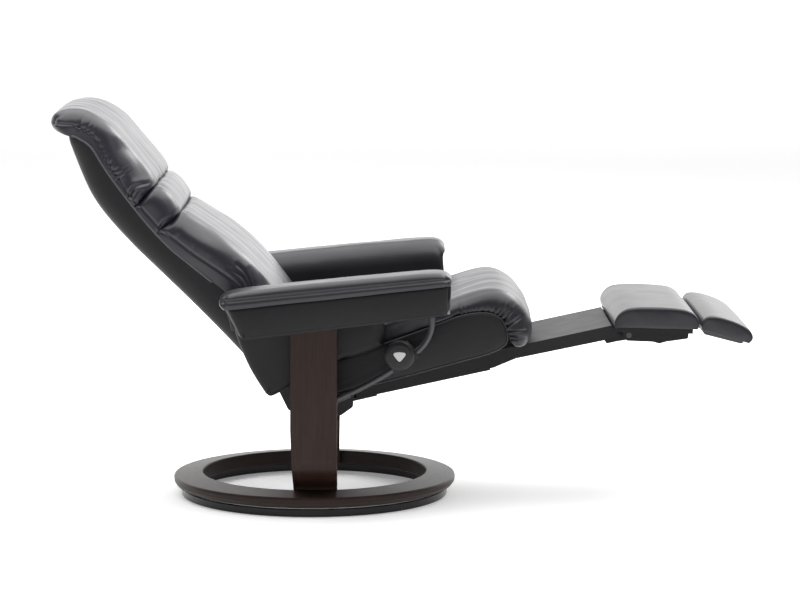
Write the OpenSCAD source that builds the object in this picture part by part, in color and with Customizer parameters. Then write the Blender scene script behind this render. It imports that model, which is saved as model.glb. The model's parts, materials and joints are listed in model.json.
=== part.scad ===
// Power recliner on a swivelling wooden ring, drawn fully reclined with the footrest out.
// X points forward, Y to the sitter's left, Z up; the origin is on the floor on the swivel axis.

/* [Base ring] */
// Outside diameter of the wooden ring
ring_d = 646; // [630:1:670]
// Diameter of the opening in the wooden ring
ring_hole_d = 514; // [500:1:526]
// Height of the wooden ring's top at its outer edge
ring_top = 46; // [42:1:50]
// Rise of the ring's top from its outer to its inner edge
ring_rise = 7; // [4:0.5:9]
// Height of the wooden ring's underside
ring_under = 20; // [18.5:0.5:24]
// Outside diameter of the black floor ring
floor_ring_d = 612; // [604:1:620]
// Radial width of the floor ring
floor_ring_w = 30; // [28:1:36]
// Height of the floor ring
floor_ring_h = 17.5; // [16:0.5:18]

/* [Posts] */
// Width of each bent wooden post, front to back
post_w = 103; // [90:1:110]
// Thickness of the post's bent board
post_t = 25; // [20:0.5:28]
// Distance of the posts' middle in front of the swivel axis
post_x = 4; // [0:1:8]
// Taper of the post's width towards its foot
post_taper = 6; // [0:1:12]
// Diameter of the steel tube that ties the posts together
cross_d = 28; // [22:1:32]

/* [Arms] */
// Length of the armrest
arm_len = 488; // [470:1:500]
// Width of the armrest
arm_w = 113; // [108:1:124]
// Height of the armrest's upholstered boxing
arm_box_h = 66; // [60:1:70]
// Thickness of the armrest's top pad
arm_pad_h = 36; // [28:1:42]
// Slope of the armrest, in degrees
arm_tilt = 6; // [5:0.5:7]

/* [Glide rods] */
// Diameter of the bent steel glide rod
rod_d = 13; // [10:0.5:13]
// Radius of the arc that the seat glides on
glide_r = 620; // [615:1:625]
// Diameter of the hand wheel
wheel_d = 66; // [56:1:72]
// Thickness of the hand wheel
wheel_t = 17; // [12:1:20]

/* [Seat] */
// Width of the seat over its side panels
seat_w = 520; // [500:1:530]
// Thickness of the upholstered side panels
panel_t = 28; // [20:1:30]
// Thickness of the board under the seat cushion
board_t = 8; // [6:0.5:9]
// Crown of the seat cushion across its width
seat_crown = 9; // [0:1:14]
// Thickness of the back's side wings
wing_t = 16; // [12:1:18]

/* [Back] */
// How far the back's sides lie inside the seat's sides
back_inset = 13; // [12:1:18]
// Wall thickness of the back shell
shell_t = 14; // [10:1:14]
// Crown of the back cushions across their width
back_crown = 5; // [0:1:8]
// Depth of the soft pleats along the back
pleat_depth = 2; // [0:0.5:3]
// Diameter of the back frame's steel tube
back_tube_d = 20; // [16:1:22]

/* [Footrest] */
// Width of the sliding leg carrier
tray_w = 330; // [300:1:340]
// Wall thickness of the carrier and of its sleeve
tray_wall = 2.5; // [2:0.1:3]
// Height of the sleeve that the carrier slides in
sleeve_h = 52; // [49:1:56]
// Width of the foot pads
pad_w = 454; // [430:1:470]
// Crown of the foot pads across their width
pad_crown = 3; // [0:1:8]

/* [Controls] */
// Diameter of each push button
button_d = 12; // [9:1:14]
// How far each button stands proud of its plate
button_proud = 2; // [1.6:0.1:3]

/* [Hidden] */

fine = 96;
small = 32;
run_fit = 0.1;
gap = 0.3;

// Places of the parts across the width, counted from the middle plane
seat_half = seat_w / 2;
wing_in = seat_half + 3;
wing_out = wing_in + wing_t;
arm_in = wing_out + 3;
arm_mid = arm_in + arm_w / 2;
rod_y = arm_in + 12;
socket_wall = 2.5;
post_in = rod_y + rod_d / 2 + socket_wall + 0.1;
post_out = post_in + post_t;
frame_y = seat_half - panel_t - 2;
frame_t = 4;
back_half = seat_half - back_inset;

// Base ring and swivel
ring_r = ring_d / 2;
hole_r = ring_hole_d / 2;
floor_r = floor_ring_d / 2;
track_r = floor_r - floor_ring_w / 2;
channel_w = 18;
channel_floor = 6;
pad_top = 10;
flange_t = 3;
web_w = 4;
lip_gap = 0.5;
pad_count = 8;
screw_d = 4;

// Posts
foot_r = hole_r - 0.2;
foot_bend = 55;
bend_low = 25;
bend_high = 30;
foot_top = ring_top + ring_rise + 1.5;
foot_under = ring_under + 2;
cross_z = 162;
bolt_out = 22;
cross_x = post_x - 4;
flange_d = 60;

// Arms: a sloping frame whose zero is the boxing's underside over the swivel axis
arm_o = [0, 427];
arm_back = -182;
core_t = 22;
core_wall = 5;
// The box's lower edge slopes a little more than the arm
box_drop = 5;
box_lift = 2;

// Glide arc: its middle lies near the sitter's chest
glide_o = [-168, 842];
rod_start = 24.5;
rod_end = 40.5;
rod_rise_r = 86;
rod_tail = 66;
socket_from = 8;
collar_d = rod_d + 1.2;
collar_half = 4;
block_a = 36.9;
block_half = 3;
screw_up = 19;
wheel_screw_d = 8;
wheel_in = rod_y + rod_d / 2 + 4;

// Seat frame, back frame and leg frame: a zero and a slope for each
seat_o = [0, 300];
seat_tilt = 14.5;
board_n = 4;
back_o = [-98, 407];
back_pitch = 46.8;
leg_o = [398, 308];
leg_tilt = 12.2;
hinge_pin_d = 12;
head_pivot = [402, 20];
head_pin_d = 5;
knuckle_d = 9;
leaf_t = 2.5;
leaf_half = 50;

// Leg carrier and foot pads
carrier_top = 40.5;
carrier_low = 13;
sleeve_len = 306;
carrier_back = -83;
neck_w = tray_w - 50;
pad_hinge = [320, 8];
pad_o = [673, 411];
pad_tilt = -1.5;
pad_board_t = 10;
flap_o = [862, 407];
flap_tilt = -16.5;
flap_pivot = [860, 402];
ear_d = 12;
ear_y = 100;
ear_t = 5;
foot_pin_d = 12;
flap_pin_d = 6;
side_plate_y = 146;
side_plate_t = 5;

// Actuators
ram_o = [0, 245];
ram_y = frame_y - 32;
ram_tilt = 19.7;
ram_d = 14;
ram_len = 130;
ram_tube_d = 28;
ram_tube_from = 108;
ram_tube_len = 124;
ram_pin_d = 10;
ram_pin_play = 2;
leg_tube_d = 20;
leg_rod_d = 12;
leg_axis_n = 26.8;
leg_tube_from = -330;
leg_tube_to = -92;

// Underseat pan
pan_half = 150;
pan_wall = 3;
lip_t = 6;

// Colours seen in the photograph
leather = [0.17, 0.17, 0.19];
leather_side = [0.14, 0.14, 0.15];
dark_wood = [0.20, 0.15, 0.14];
black = [0.05, 0.05, 0.05];
dark_steel = [0.22, 0.22, 0.23];
steel = [0.62, 0.62, 0.64];
pale_metal = [0.80, 0.80, 0.82];
ply = [0.70, 0.58, 0.42];

// A point at s along and n square to a line that leaves o at angle a, in the XZ plane
function along(o, a, s, n) = [o[0] + s * cos(a) - n * sin(a), o[1] + s * sin(a) + n * cos(a)];
function place(o, a, pts) = [for (p = pts) along(o, a, p[0], p[1])];
function back_pt(u, v) = along(back_o, -back_pitch, -u, v);
function back_pts(pts) = [for (p = pts) back_pt(p[0], p[1])];
function glide_pt(a, r) = [glide_o[0] + r * sin(a), glide_o[1] - r * cos(a)];

// Corners rounded to radius r
function unit(v) = v / norm(v);
function corner(a, b, c, r, steps) =
    let (
        p = unit(a - b),
        q = unit(c - b),
        half = acos(max(-1, min(1, p * q))) / 2,
        cut = r / tan(half),
        mid = b + unit(p + q) * r / sin(half),
        from = b + p * cut - mid,
        to = b + q * cut - mid,
        a0 = atan2(from[1], from[0]),
        turn = (atan2(to[1], to[0]) - a0 + 540) % 360 - 180
    )
    [for (k = [0:steps]) mid + r * [cos(a0 + turn * k / steps), sin(a0 + turn * k / steps)]];
function rounded(pts, r, steps = 4) =
    let (n = len(pts))
    [for (i = [0:n - 1]) each corner(pts[(i + n - 1) % n], pts[i], pts[(i + 1) % n], r, steps)];

// A smooth open curve through the points
function blend(a, b, c, d, t) =
    0.5 * (2 * b + (c - a) * t + (2 * a - 5 * b + 4 * c - d) * t * t
    + (3 * b - a - 3 * c + d) * t * t * t);
function smooth(pts, steps) =
    let (n = len(pts))
    [for (i = [0:n - 2]) for (k = [0:steps - 1])
        blend(pts[max(i - 1, 0)], pts[i], pts[i + 1], pts[min(i + 2, n - 1)], k / steps)];

// A plate with an outline in the XZ plane, from y0 to y1
module slab(pts, y0, y1) {
    translate([0, y1, 0])
        rotate([90, 0, 0])
            linear_extrude(y1 - y0)
                polygon(pts);
}

// A round bar or hole across the seat, from y0 to y1
module bar(p, d, y0, y1) {
    translate([p[0], y1, p[1]])
        rotate([90, 0, 0])
            cylinder(h = y1 - y0, d = d, $fn = fine);
}

// A round bar in the XZ direction a, from s0 to s1 along a line through o
module shaft(o, a, y, d, s0, s1, n = 0) {
    from = along(o, a, s0, n);
    translate([from[0], y, from[1]])
        rotate([0, 90 - a, 0])
            cylinder(h = s1 - s0, d = d, $fn = fine);
}

// A turned arc about a Y axis at c: the profile is [distance from c, place along -Y]
module arc(c, a0, a1) {
    translate([c[0], 0, c[1]])
        rotate([90, 0, 0])
            rotate([0, 0, a0])
                rotate_extrude(angle = a1 - a0, $fn = fine)
                    children();
}

// Copies on both sides of the middle plane; children are drawn on the sitter's left
module both() {
    children();
    mirror([0, 1, 0])
        children();
}

// Inward direction at each point of a closed outline that runs counter-clockwise
function inward(pts) =
    let (n = len(pts))
    [for (i = [0:n - 1])
        let (t = unit(pts[(i + 1) % n] - pts[(i + n - 1) % n]))
        [-t[1], t[0]]];

// How far the edge of a pillow has drawn in at y, for a rounded edge of radius r
function drawn_in(y, half, r) =
    let (over = max(0, abs(y) - (half - r)))
    r - sqrt(max(0, r * r - over * over));

// Stations across a pillow: close together on its rounded edges
function stations(half, r, edge, inner) =
    concat(
        [for (k = [0:edge - 1]) -half + r * (1 - cos(90 * k / edge))],
        [for (k = [0:inner]) (half - r) * (2 * k / inner - 1)],
        [for (k = [edge - 1:-1:0]) half - r * (1 - cos(90 * k / edge))]);

// The middle of a ring of points
function middle(ring) = [for (k = [0:2]) [for (p = ring) p[k]] * [for (p = ring) 1] / len(ring)];

// A stuffed form: rest is its flat side, front the curve that swells and draws in
module pillow(o, a, rest, front, half, r, crown, pleats = 0, edge = 4, inner = 8) {
    line = concat(rest, front);
    m = len(line);
    still = len(rest);
    into = inward(line);
    ys = stations(half, r, edge, inner);
    rings = [for (y = ys)
        let (
            pull = drawn_in(y, half, r),
            swell = crown * (1 - pow(y / half, 2)),
            fold = pleats > 0 ? pleat_depth * (cos(180 * pleats * y / half) - 1) / 2 : 0
        )
        [for (i = [0:m - 1])
            let (
                shift = i < still ? 0 : pull,
                rise = i < still ? 0 : (swell + fold) * max(0, -into[i][1]),
                q = along(o, a, line[i][0] + shift * into[i][0], line[i][1] + shift * into[i][1] + rise)
            )
            [q[0], y, q[1]]]];
    count = len(rings);
    pts = concat([for (ring = rings) each ring], [middle(rings[0]), middle(rings[count - 1])]);
    sides = [for (j = [0:count - 2]) for (i = [0:m - 1])
        let (i2 = (i + 1) % m)
        each [[j * m + i, (j + 1) * m + i2, (j + 1) * m + i], [j * m + i, j * m + i2, (j + 1) * m + i2]]];
    last = (count - 1) * m;
    caps = [for (i = [0:m - 1])
        let (i2 = (i + 1) % m)
        each [[count * m, i2, i], [count * m + 1, last + i, last + i2]]];
    polyhedron(pts, concat(sides, caps));
}

// Swivel base

module floor_ring() {
    color(black)
        rotate_extrude($fn = fine)
            difference() {
                polygon(rounded([[floor_r - floor_ring_w, 0], [floor_r - 2, 0],
                    [floor_r, floor_ring_h], [floor_r - floor_ring_w, floor_ring_h]], 1.5, 3));
                translate([track_r - channel_w / 2, channel_floor])
                    square([channel_w, pad_top + flange_t + 2 * lip_gap - channel_floor]);
                translate([track_r - web_w / 2 - 1, channel_floor])
                    square([web_w + 2, floor_ring_h]);
            }
}

module slide_pads() {
    color(pale_metal)
        for (k = [0:pad_count - 1])
            rotate([0, 0, 360 * (k + 0.5) / pad_count])
                rotate_extrude(angle = 12, $fn = fine)
                    translate([track_r - 6, channel_floor])
                        square([12, pad_top - channel_floor]);
}

module turn_track() {
    color(steel)
        difference() {
            rotate_extrude($fn = fine)
                union() {
                    translate([track_r - 6, pad_top + gap])
                        square([12, flange_t]);
                    translate([track_r - web_w / 2, pad_top + gap])
                        square([web_w, ring_under - pad_top - gap]);
                    translate([track_r - web_w / 2, ring_under - 1.2])
                        square([14, 1.2]);
                }
            for (k = [0:pad_count - 1])
                rotate([0, 0, 360 * k / pad_count])
                    translate([track_r + 7, 0, ring_under - 5])
                        cylinder(h = 10, d = screw_d + 2 * run_fit, $fn = small);
        }
}

module track_screws() {
    color(steel)
        for (k = [0:pad_count - 1])
            rotate([0, 0, 360 * k / pad_count])
                translate([track_r + 7, 0, ring_under - 1.2])
                    cylinder(h = 16, d = screw_d, $fn = small);
}

module base_ring() {
    color(dark_wood)
        difference() {
            rotate_extrude($fn = fine)
                polygon([[hole_r, ring_under + 2], [hole_r + 2, ring_under], [ring_r - 17, ring_under],
                    [ring_r - 7, ring_under + 4], [ring_r - 1, ring_under + 12],
                    [ring_r, ring_top - 5], [ring_r - 1.5, ring_top - 1.2], [ring_r - 4, ring_top],
                    [hole_r + 3, ring_top + ring_rise - 0.5],
                    [hole_r + 1, ring_top + ring_rise - 1.2], [hole_r, ring_top + ring_rise - 3]]);
            for (k = [0:pad_count - 1])
                rotate([0, 0, 360 * k / pad_count])
                    translate([track_r + 7, 0, ring_under - 1])
                        cylinder(h = 16.5, d = screw_d + 2 * run_fit, $fn = small);
            foot_bolt_shafts(2 * run_fit, hole_r - 10);
        }
}

// Two bolts through each post's foot into the ring
module foot_bolt_shafts(extra, from) {
    for (side = [-1, 1])
        for (x = [-1, 1])
            translate([post_x + x * post_w / 4, side * from, (foot_under + foot_top) / 2 - 2])
                rotate([-side * 90, 0, 0])
                    cylinder(h = hole_r + 40 - from, d = 8 + extra, $fn = small);
}

module foot_bolts() {
    color(steel) {
        foot_bolt_shafts(0, foot_r - post_t - 3);
        for (side = [-1, 1])
            for (x = [-1, 1])
                translate([post_x + x * post_w / 4, side * (foot_r - post_t - 6),
                    (foot_under + foot_top) / 2 - 2])
                    rotate([-side * 90, 0, 0])
                        cylinder(h = 3, d = 18, $fn = small);
    }
}

// Centre line of a bent post in the YZ plane, with the direction of each point
post_shift = post_in + post_t / 2 - (foot_r - post_t / 2);
post_run = (post_shift - (bend_low + bend_high) * (1 - cos(foot_bend))) / sin(foot_bend);
function post_line() =
    let (
        y0 = foot_r - post_t / 2,
        lean = [sin(foot_bend), cos(foot_bend)],
        a = [for (k = [0:6])
            let (t = foot_bend * k / 6)
            [y0 + bend_low * (1 - cos(t)), foot_top + bend_low * sin(t), t]],
        b0 = [a[6][0], a[6][1]] + post_run * lean,
        b = [for (k = [0:6])
            let (t = foot_bend * (1 - k / 6))
            [b0[0] + bend_high * (cos(t) - cos(foot_bend)),
                b0[1] + bend_high * (sin(foot_bend) - sin(t)), t]]
    )
    concat([[y0, foot_under, 0]], a, b, [[post_in + post_t / 2, arm_o[1] + 40, 0]]);

module post(side) {
    line = post_line();
    rim = concat(
        [for (p = line) [p[0] + post_t / 2 * cos(p[2]), p[1] - post_t / 2 * sin(p[2])]],
        [for (k = [len(line) - 1:-1:0])
            let (p = line[k])
            [p[0] - post_t / 2 * cos(p[2]), p[1] + post_t / 2 * sin(p[2])]]);
    half = post_w / 2;
    color(dark_wood)
        mirror([0, side < 0 ? 1 : 0, 0])
            difference() {
                intersection() {
                    translate([post_x - half, 0, 0])
                        rotate([90, 0, 90])
                            linear_extrude(post_w)
                                polygon(rim);
                    slab([[post_x - half, 200], [post_x - half + post_taper, foot_under - 1],
                        [post_x + half - 1, foot_under - 1], [post_x + half, 200],
                        along(arm_o, arm_tilt, post_x + half + 2, 2),
                        along(arm_o, arm_tilt, post_x - half + 2, 2)], 0, post_out + 10);
                    union() {
                        cylinder(h = foot_top + 2, r = foot_r, $fn = fine);
                        translate([-200, 0, foot_top + 1])
                            cube([400, post_out + 20, 500]);
                    }
                }
                foot_bolt_shafts(2 * run_fit, foot_r - post_t - 20);
                for (x = [-1, 1])
                    bar([cross_x + x * bolt_out, cross_z], 8 + 2 * run_fit, post_in - 10, post_in + 18);
                arm_screw_shafts(2 * run_fit);
            }
}

module post_right() {
    post(-1);
}

module post_left() {
    post(1);
}

module cross_tube() {
    color(dark_steel) {
        difference() {
            bar([cross_x, cross_z], cross_d, -post_in + 5, post_in - 5);
            bar([cross_x, cross_z], cross_d - 6, -post_in, post_in);
        }
        both()
            difference() {
                bar([cross_x, cross_z], flange_d, post_in - 5, post_in);
                for (x = [-1, 1])
                    bar([cross_x + x * bolt_out, cross_z], 8 + 2 * run_fit, post_in - 10, post_in + 10);
            }
    }
}

module cross_bolts() {
    color(steel)
        both()
            for (x = [-1, 1]) {
                bar([cross_x + x * bolt_out, cross_z], 8, post_in - 5, post_in + 18);
                bar([cross_x + x * bolt_out, cross_z], 14, post_in - 10, post_in - 5);
            }
}

// Fork on the cross tube that holds the recline ram's eye
module ram_clevis() {
    color(dark_steel) {
        for (y = [ram_y - 12, ram_y + 7])
            difference() {
                slab(rounded([[ram_o[0] - 16, ram_o[1] + 14], [cross_x - 20, cross_z - 16],
                    [cross_x + 20, cross_z - 16], [ram_o[0] + 16, ram_o[1] + 14]], 8), y, y + 5);
                bar([cross_x, cross_z], cross_d + 2 * run_fit, y - 1, y + 6);
            }
        bar(ram_o, ram_pin_d, ram_y - 12, ram_y + 12);
    }
}

// Arms

function arm_pt(s, n) = along(arm_o, arm_tilt, s, n);
arm_front = arm_back + arm_len;

module arm_core(side) {
    color(ply)
        mirror([0, side < 0 ? 1 : 0, 0])
            difference() {
                slab([arm_pt(arm_back + 30, 2.3), arm_pt(arm_front - 12, 2.3),
                    arm_pt(arm_front - 12, 2.3 + core_t), arm_pt(arm_back + 30, 2.3 + core_t)],
                    arm_in + core_wall, arm_in + arm_w - core_wall);
                translate([rod_top()[0], rod_y, rod_top()[1] - 30])
                    cylinder(h = 40, d = rod_d + 2 * run_fit, $fn = fine);
                arm_screw_shafts(2 * run_fit);
            }
}

module arm_core_right() {
    arm_core(-1);
}

module arm_core_left() {
    arm_core(1);
}

// Screws down through the core into the post's end grain
module arm_screw_shafts(extra) {
    for (s = [-1, 1])
        let (p = arm_pt(post_x + s * post_w / 4, 2.3 + core_t))
        translate([p[0], post_in + post_t / 2, p[1]])
            rotate([0, -arm_tilt, 0])
                translate([0, 0, -core_t - 40])
                    cylinder(h = core_t + 40 + extra, d = 6 + extra, $fn = small);
}

module arm_screws() {
    color(steel)
        both()
            arm_screw_shafts(0);
}

module arm_boxing(side) {
    y0 = arm_in;
    y1 = arm_in + arm_w;
    base = 2.3 + core_t;
    outline = rounded([arm_pt(arm_back + 18, -box_drop), arm_pt(arm_front - 2, box_lift),
        arm_pt(arm_front, arm_box_h), arm_pt(arm_back + 2, arm_box_h)], 12, 5);
    color(leather_side)
        mirror([0, side < 0 ? 1 : 0, 0])
            difference() {
                slab(outline, y0, y1);
                slab([arm_pt(arm_back + 30 - gap, -20), arm_pt(arm_front - 12 + gap, -20),
                    arm_pt(arm_front - 12 + gap, base + gap), arm_pt(arm_back + 30 - gap, base + gap)],
                    y0 + core_wall - gap, y1 - core_wall + gap);
                translate([rod_top()[0], rod_y, rod_top()[1] - 30])
                    cylinder(h = 60, d = rod_d + 4, $fn = small);
            }
}

module arm_boxing_right() {
    arm_boxing(-1);
}

module arm_boxing_left() {
    arm_boxing(1);
}

module arm_pad(side) {
    low = arm_box_h + gap;
    top = arm_box_h + arm_pad_h;
    front = smooth([[arm_front + 4, low], [arm_front + 8, low + 7], [arm_front + 7, top - 19],
        [arm_front - 6, top - 10], [arm_front - 40, top - 6], [arm_front - 130, top - 3.5],
        [arm_back + 200, top - 1], [arm_back + 60, top - 1], [arm_back + 14, top - 3],
        [arm_back - 4, top - 12], [arm_back - 6, low + 10], [arm_back, low]], 3);
    color(leather)
        mirror([0, side < 0 ? 1 : 0, 0])
            translate([0, arm_mid, 0])
                pillow(arm_o, arm_tilt, [[arm_back, low], [arm_front + 4, low]],
                    front, arm_w / 2 + 3, 26, 0, edge = 4, inner = 2);
}

module arm_pad_right() {
    arm_pad(-1);
}

module arm_pad_left() {
    arm_pad(1);
}

// Glide rods

rise_o = glide_pt(rod_end, glide_r - rod_rise_r);
function rod_top() = [rise_o[0] + rod_rise_r, arm_pt(rise_o[0] + rod_rise_r, 0)[1] + 18];

module glide_rod(side) {
    top = rod_top();
    low = glide_pt(rod_start, glide_r);
    high = glide_pt(rod_end, glide_r);
    cut = 0.02;
    color(dark_steel)
        mirror([0, side < 0 ? 1 : 0, 0])
            union() {
                shaft(low, rod_start, rod_y, rod_d, -rod_tail, -cut);
                shaft(low, rod_start, rod_y, collar_d, -collar_half, collar_half);
                arc(glide_o, rod_start - 90 + cut, rod_end - 90 - cut)
                    translate([glide_r, -rod_y])
                        circle(d = rod_d, $fn = fine);
                shaft(high, rod_end, rod_y, collar_d, -collar_half, collar_half);
                arc(rise_o, rod_end - 90 + cut, -cut)
                    translate([rod_rise_r, -rod_y])
                        circle(d = rod_d, $fn = fine);
                translate([top[0], rod_y, rise_o[1] - collar_half])
                    cylinder(h = 2 * collar_half, d = collar_d, $fn = fine);
                translate([top[0], rod_y, rise_o[1] + cut])
                    cylinder(h = top[1] - rise_o[1] - cut, d = rod_d, $fn = fine);
            }
}

module glide_rod_right() {
    glide_rod(-1);
}

module glide_rod_left() {
    glide_rod(1);
}

// Rear socket of the rod, screwed to the post's inner face
module rod_socket(side) {
    low = glide_pt(rod_start, glide_r);
    lug = along(low, rod_start, -rod_tail + 16, 0);
    color(dark_steel)
        mirror([0, side < 0 ? 1 : 0, 0])
            difference() {
                union() {
                    shaft(low, rod_start, rod_y, rod_d + 2 * socket_wall, -rod_tail - 3, -socket_from);
                    bar(lug, 30, rod_y, post_in);
                }
                shaft(low, rod_start, rod_y, rod_d + 2 * run_fit, -rod_tail, socket_from);
            }
}

module rod_socket_right() {
    rod_socket(-1);
}

module rod_socket_left() {
    rod_socket(1);
}

// Seat

function seat_pt(s, n) = along(seat_o, seat_tilt, s, n);
wheel_p = glide_pt(block_a, glide_r - screw_up);

// Steel frame: two side plates, two cross beams and the hangers of the sleeve
module seat_frame() {
    top = board_n - 0.2;
    plate = rounded([seat_pt(-62, 150), seat_pt(-92, 134), seat_pt(-78, 96), seat_pt(-40, 20),
        seat_pt(0, -30), seat_pt(120, -38), seat_pt(420, -30), seat_pt(420, top),
        seat_pt(2, top), seat_pt(-36, 96)], 6);
    color(dark_steel) {
        both()
            difference() {
                slab(plate, frame_y - frame_t, frame_y);
                bar(back_o, hinge_pin_d + 2 * run_fit, frame_y - 20, frame_y + 20);
                bar(wheel_p, wheel_screw_d + 6, frame_y - 20, frame_y + 20);
            }
        for (s = [110, 350])
            slab([seat_pt(s, top - 20), seat_pt(s + 30, top - 20), seat_pt(s + 30, top),
                seat_pt(s, top)], -frame_y + frame_t, frame_y - frame_t);
        for (s = [110, 350])
            both()
                slab([hang_pt(s), hang_pt(s + 30), seat_pt(s + 30, top - 20), seat_pt(s, top - 20)],
                    tray_w / 2 - 30, tray_w / 2 - 24);
    }
}

// The point of the sleeve's top under the seat frame's station s
function hang_pt(s) =
    let (p = seat_pt(s, -30), run = (p[0] - leg_o[0] + (sleeve_h + gap) * sin(leg_tilt)) / cos(leg_tilt))
    along(leg_o, leg_tilt, run, sleeve_h + gap);

module seat_board() {
    color(ply)
        slab([seat_pt(36, board_n), seat_pt(436, board_n), seat_pt(436, board_n + board_t),
            seat_pt(36, board_n + board_t)], -frame_y + 1, frame_y - 1);
}

module seat_cushion() {
    low = board_n + board_t + gap;
    front = smooth([[447, -38], [456, -49], [474, -48], [490, -36], [498, -8], [495, 24],
        [483, 52], [464, 73], [440, 85], [408, 88], [350, 86], [280, 80], [180, 77], [80, 78],
        [30, 80], [12, 72], [6, 50]], 2);
    color(leather)
        pillow(seat_o, seat_tilt, [[6, low], [445, low], [445, -20]], front,
            frame_y - 0.5, 26, seat_crown, inner = 10);
}

module side_panel(side) {
    outline = concat(
        smooth([[-12, 22], [-12, -38], [0, -44], [140, -45], [330, -43], [392, -42], [424, -35],
            [438, -26], [443, -2], [438, 24], [420, 40], [396, 50], [352, 54], [296, 48],
            [180, 36], [60, 29]], 3), [[60, 29], [0, 25]]);
    color(leather_side)
        mirror([0, side < 0 ? 1 : 0, 0])
            difference() {
                slab(place(seat_o, seat_tilt, outline), seat_half - panel_t, seat_half);
                bar(wheel_p, 45, seat_half - panel_t - 5, seat_half + 5);
            }
}

module side_panel_right() {
    side_panel(-1);
}

module side_panel_left() {
    side_panel(1);
}

// Block that rides on the rod; a boss carries it through the side panel to the frame
module glide_block(side) {
    color(black)
        mirror([0, side < 0 ? 1 : 0, 0])
            difference() {
                union() {
                    arc(glide_o, block_a - block_half - 90, block_a + block_half - 90)
                        translate([glide_r - 30, -rod_y - rod_d / 2 - 3])
                            square([43, rod_y + rod_d / 2 + 3 - seat_half - 2]);
                    bar(wheel_p, 44, frame_y, seat_half + 3);
                }
                arc(glide_o, block_a - 2 * block_half - 90, block_a + 2 * block_half - 90)
                    translate([glide_r, -rod_y])
                        circle(d = rod_d + 2 * run_fit, $fn = fine);
                bar(wheel_p, wheel_screw_d + 2 * run_fit, frame_y - 5, rod_y + 20);
            }
}

module glide_block_right() {
    glide_block(-1);
}

module glide_block_left() {
    glide_block(1);
}

module wheel(side) {
    y0 = wheel_in;
    y1 = y0 + wheel_t;
    color(dark_steel)
        mirror([0, side < 0 ? 1 : 0, 0])
            difference() {
                union() {
                    translate([wheel_p[0], 0, wheel_p[1]])
                        rotate([-90, 0, 0])
                            rotate_extrude($fn = fine)
                                polygon([[0, y0], [wheel_d / 2 - 3, y0], [wheel_d / 2, y0 + 4],
                                    [wheel_d / 2, y0 + 8], [wheel_d / 2 - 3, y1 - 4],
                                    [wheel_d / 2 - 9, y1 - 1], [wheel_d / 2 - 18, y1], [0, y1]]);
                    bar(wheel_p, wheel_screw_d, seat_half - panel_t + 2, y0 + 1);
                }
                wheel_insert_form(y1 - 3, y1 + 5, 0);
            }
}

// Rounded triangle, point down
module wheel_insert_form(y0, y1, less) {
    k = wheel_d / 66 * (1 - less / 14);
    tri = [for (p = [[-16.5, 7], [0, 9], [16.5, 7], [8.5, -4.5], [0, -14], [-8.5, -4.5]]) wheel_p + k * p];
    slab(rounded(tri, 4 * k, 5), y0, y1);
}

module wheel_insert(side) {
    y1 = wheel_in + wheel_t;
    color(pale_metal)
        mirror([0, side < 0 ? 1 : 0, 0])
            wheel_insert_form(y1 - 3, y1 + 0.6, 0.15);
}

module wheel_right() {
    wheel(-1);
}

module wheel_left() {
    wheel(1);
}

module wheel_insert_right() {
    wheel_insert(-1);
}

module wheel_insert_left() {
    wheel_insert(1);
}

// Leg sleeve and the parts under the seat

function leg_pt(s, n) = along(leg_o, leg_tilt, s, n);
sleeve_half = tray_w / 2 + tray_wall + 1;

module sleeve_tube(s0, s1, h0, h1, half) {
    slab([leg_pt(s0, h0), leg_pt(s1, h0), leg_pt(s1, h1), leg_pt(s0, h1)], -half, half);
}

module leg_sleeve() {
    color(black)
        difference() {
            sleeve_tube(-sleeve_len, 0, 0, sleeve_h, sleeve_half);
            sleeve_tube(-sleeve_len - 5, 5, tray_wall, sleeve_h - tray_wall, sleeve_half - tray_wall);
        }
}

function pan_line(t) =
    rounded([[-86 + t, 277 - t * 0.4], [-56 + t, 215 + t], [-20, 202 + t], [62, 202 + t],
        [90 - t, 222 + t], [92 - t, 262 + t * 0.4]], 10 - t, 5);

module power_pan() {
    top = [seat_pt(88, board_n - 8), seat_pt(-88, board_n - 8)];
    color(black)
        difference() {
            union() {
                slab(pan_line(0), -pan_half, pan_half);
                slab(rounded([[78, 232], leg_pt(-262, -lip_t), leg_pt(-258, -gap),
                    leg_pt(-sleeve_len - 3, -gap), [78, 242]], 2, 2), -pan_half, pan_half);
            }
            slab(pan_line(pan_wall), -pan_half + pan_wall, pan_half - pan_wall);
            shaft(leg_o, leg_tilt, 0, leg_tube_d + 1, leg_tube_from, -200, leg_axis_n);
            translate([-100, inlet_y, inlet_z])
                rotate([0, 90, 0])
                    cylinder(h = 60, d = inlet_d + 2 * run_fit, $fn = small);
        }
}

inlet_y = 60;
inlet_z = 246;
inlet_d = 16;

module power_inlet() {
    color(black)
        translate([-78, inlet_y, inlet_z])
            rotate([0, 90, 0])
                difference() {
                    cylinder(h = 30, d = inlet_d, $fn = fine);
                    translate([0, 0, -1])
                        cylinder(h = 14, d = 6, $fn = fine);
                }
}

module control_box() {
    color(black)
        translate([-16, 70, 202 + pan_wall + gap])
            cube([76, 62, 28]);
}

// Gear motor and outer tube of the leg drive
module leg_motor() {
    box = leg_pt(leg_tube_from - 32, leg_axis_n);
    color(dark_steel)
        difference() {
            union() {
                translate([box[0], -40, box[1]])
                    rotate([0, -leg_tilt, 0])
                        translate([-22, 0, -19])
                            cube([52, 80, 38]);
                shaft(leg_o, leg_tilt, 0, leg_tube_d, leg_tube_from - 10, leg_tube_to, leg_axis_n);
            }
            shaft(leg_o, leg_tilt, 0, leg_rod_d + 2 * run_fit, leg_tube_from + 4, leg_tube_to + 5,
                leg_axis_n);
        }
}

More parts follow.
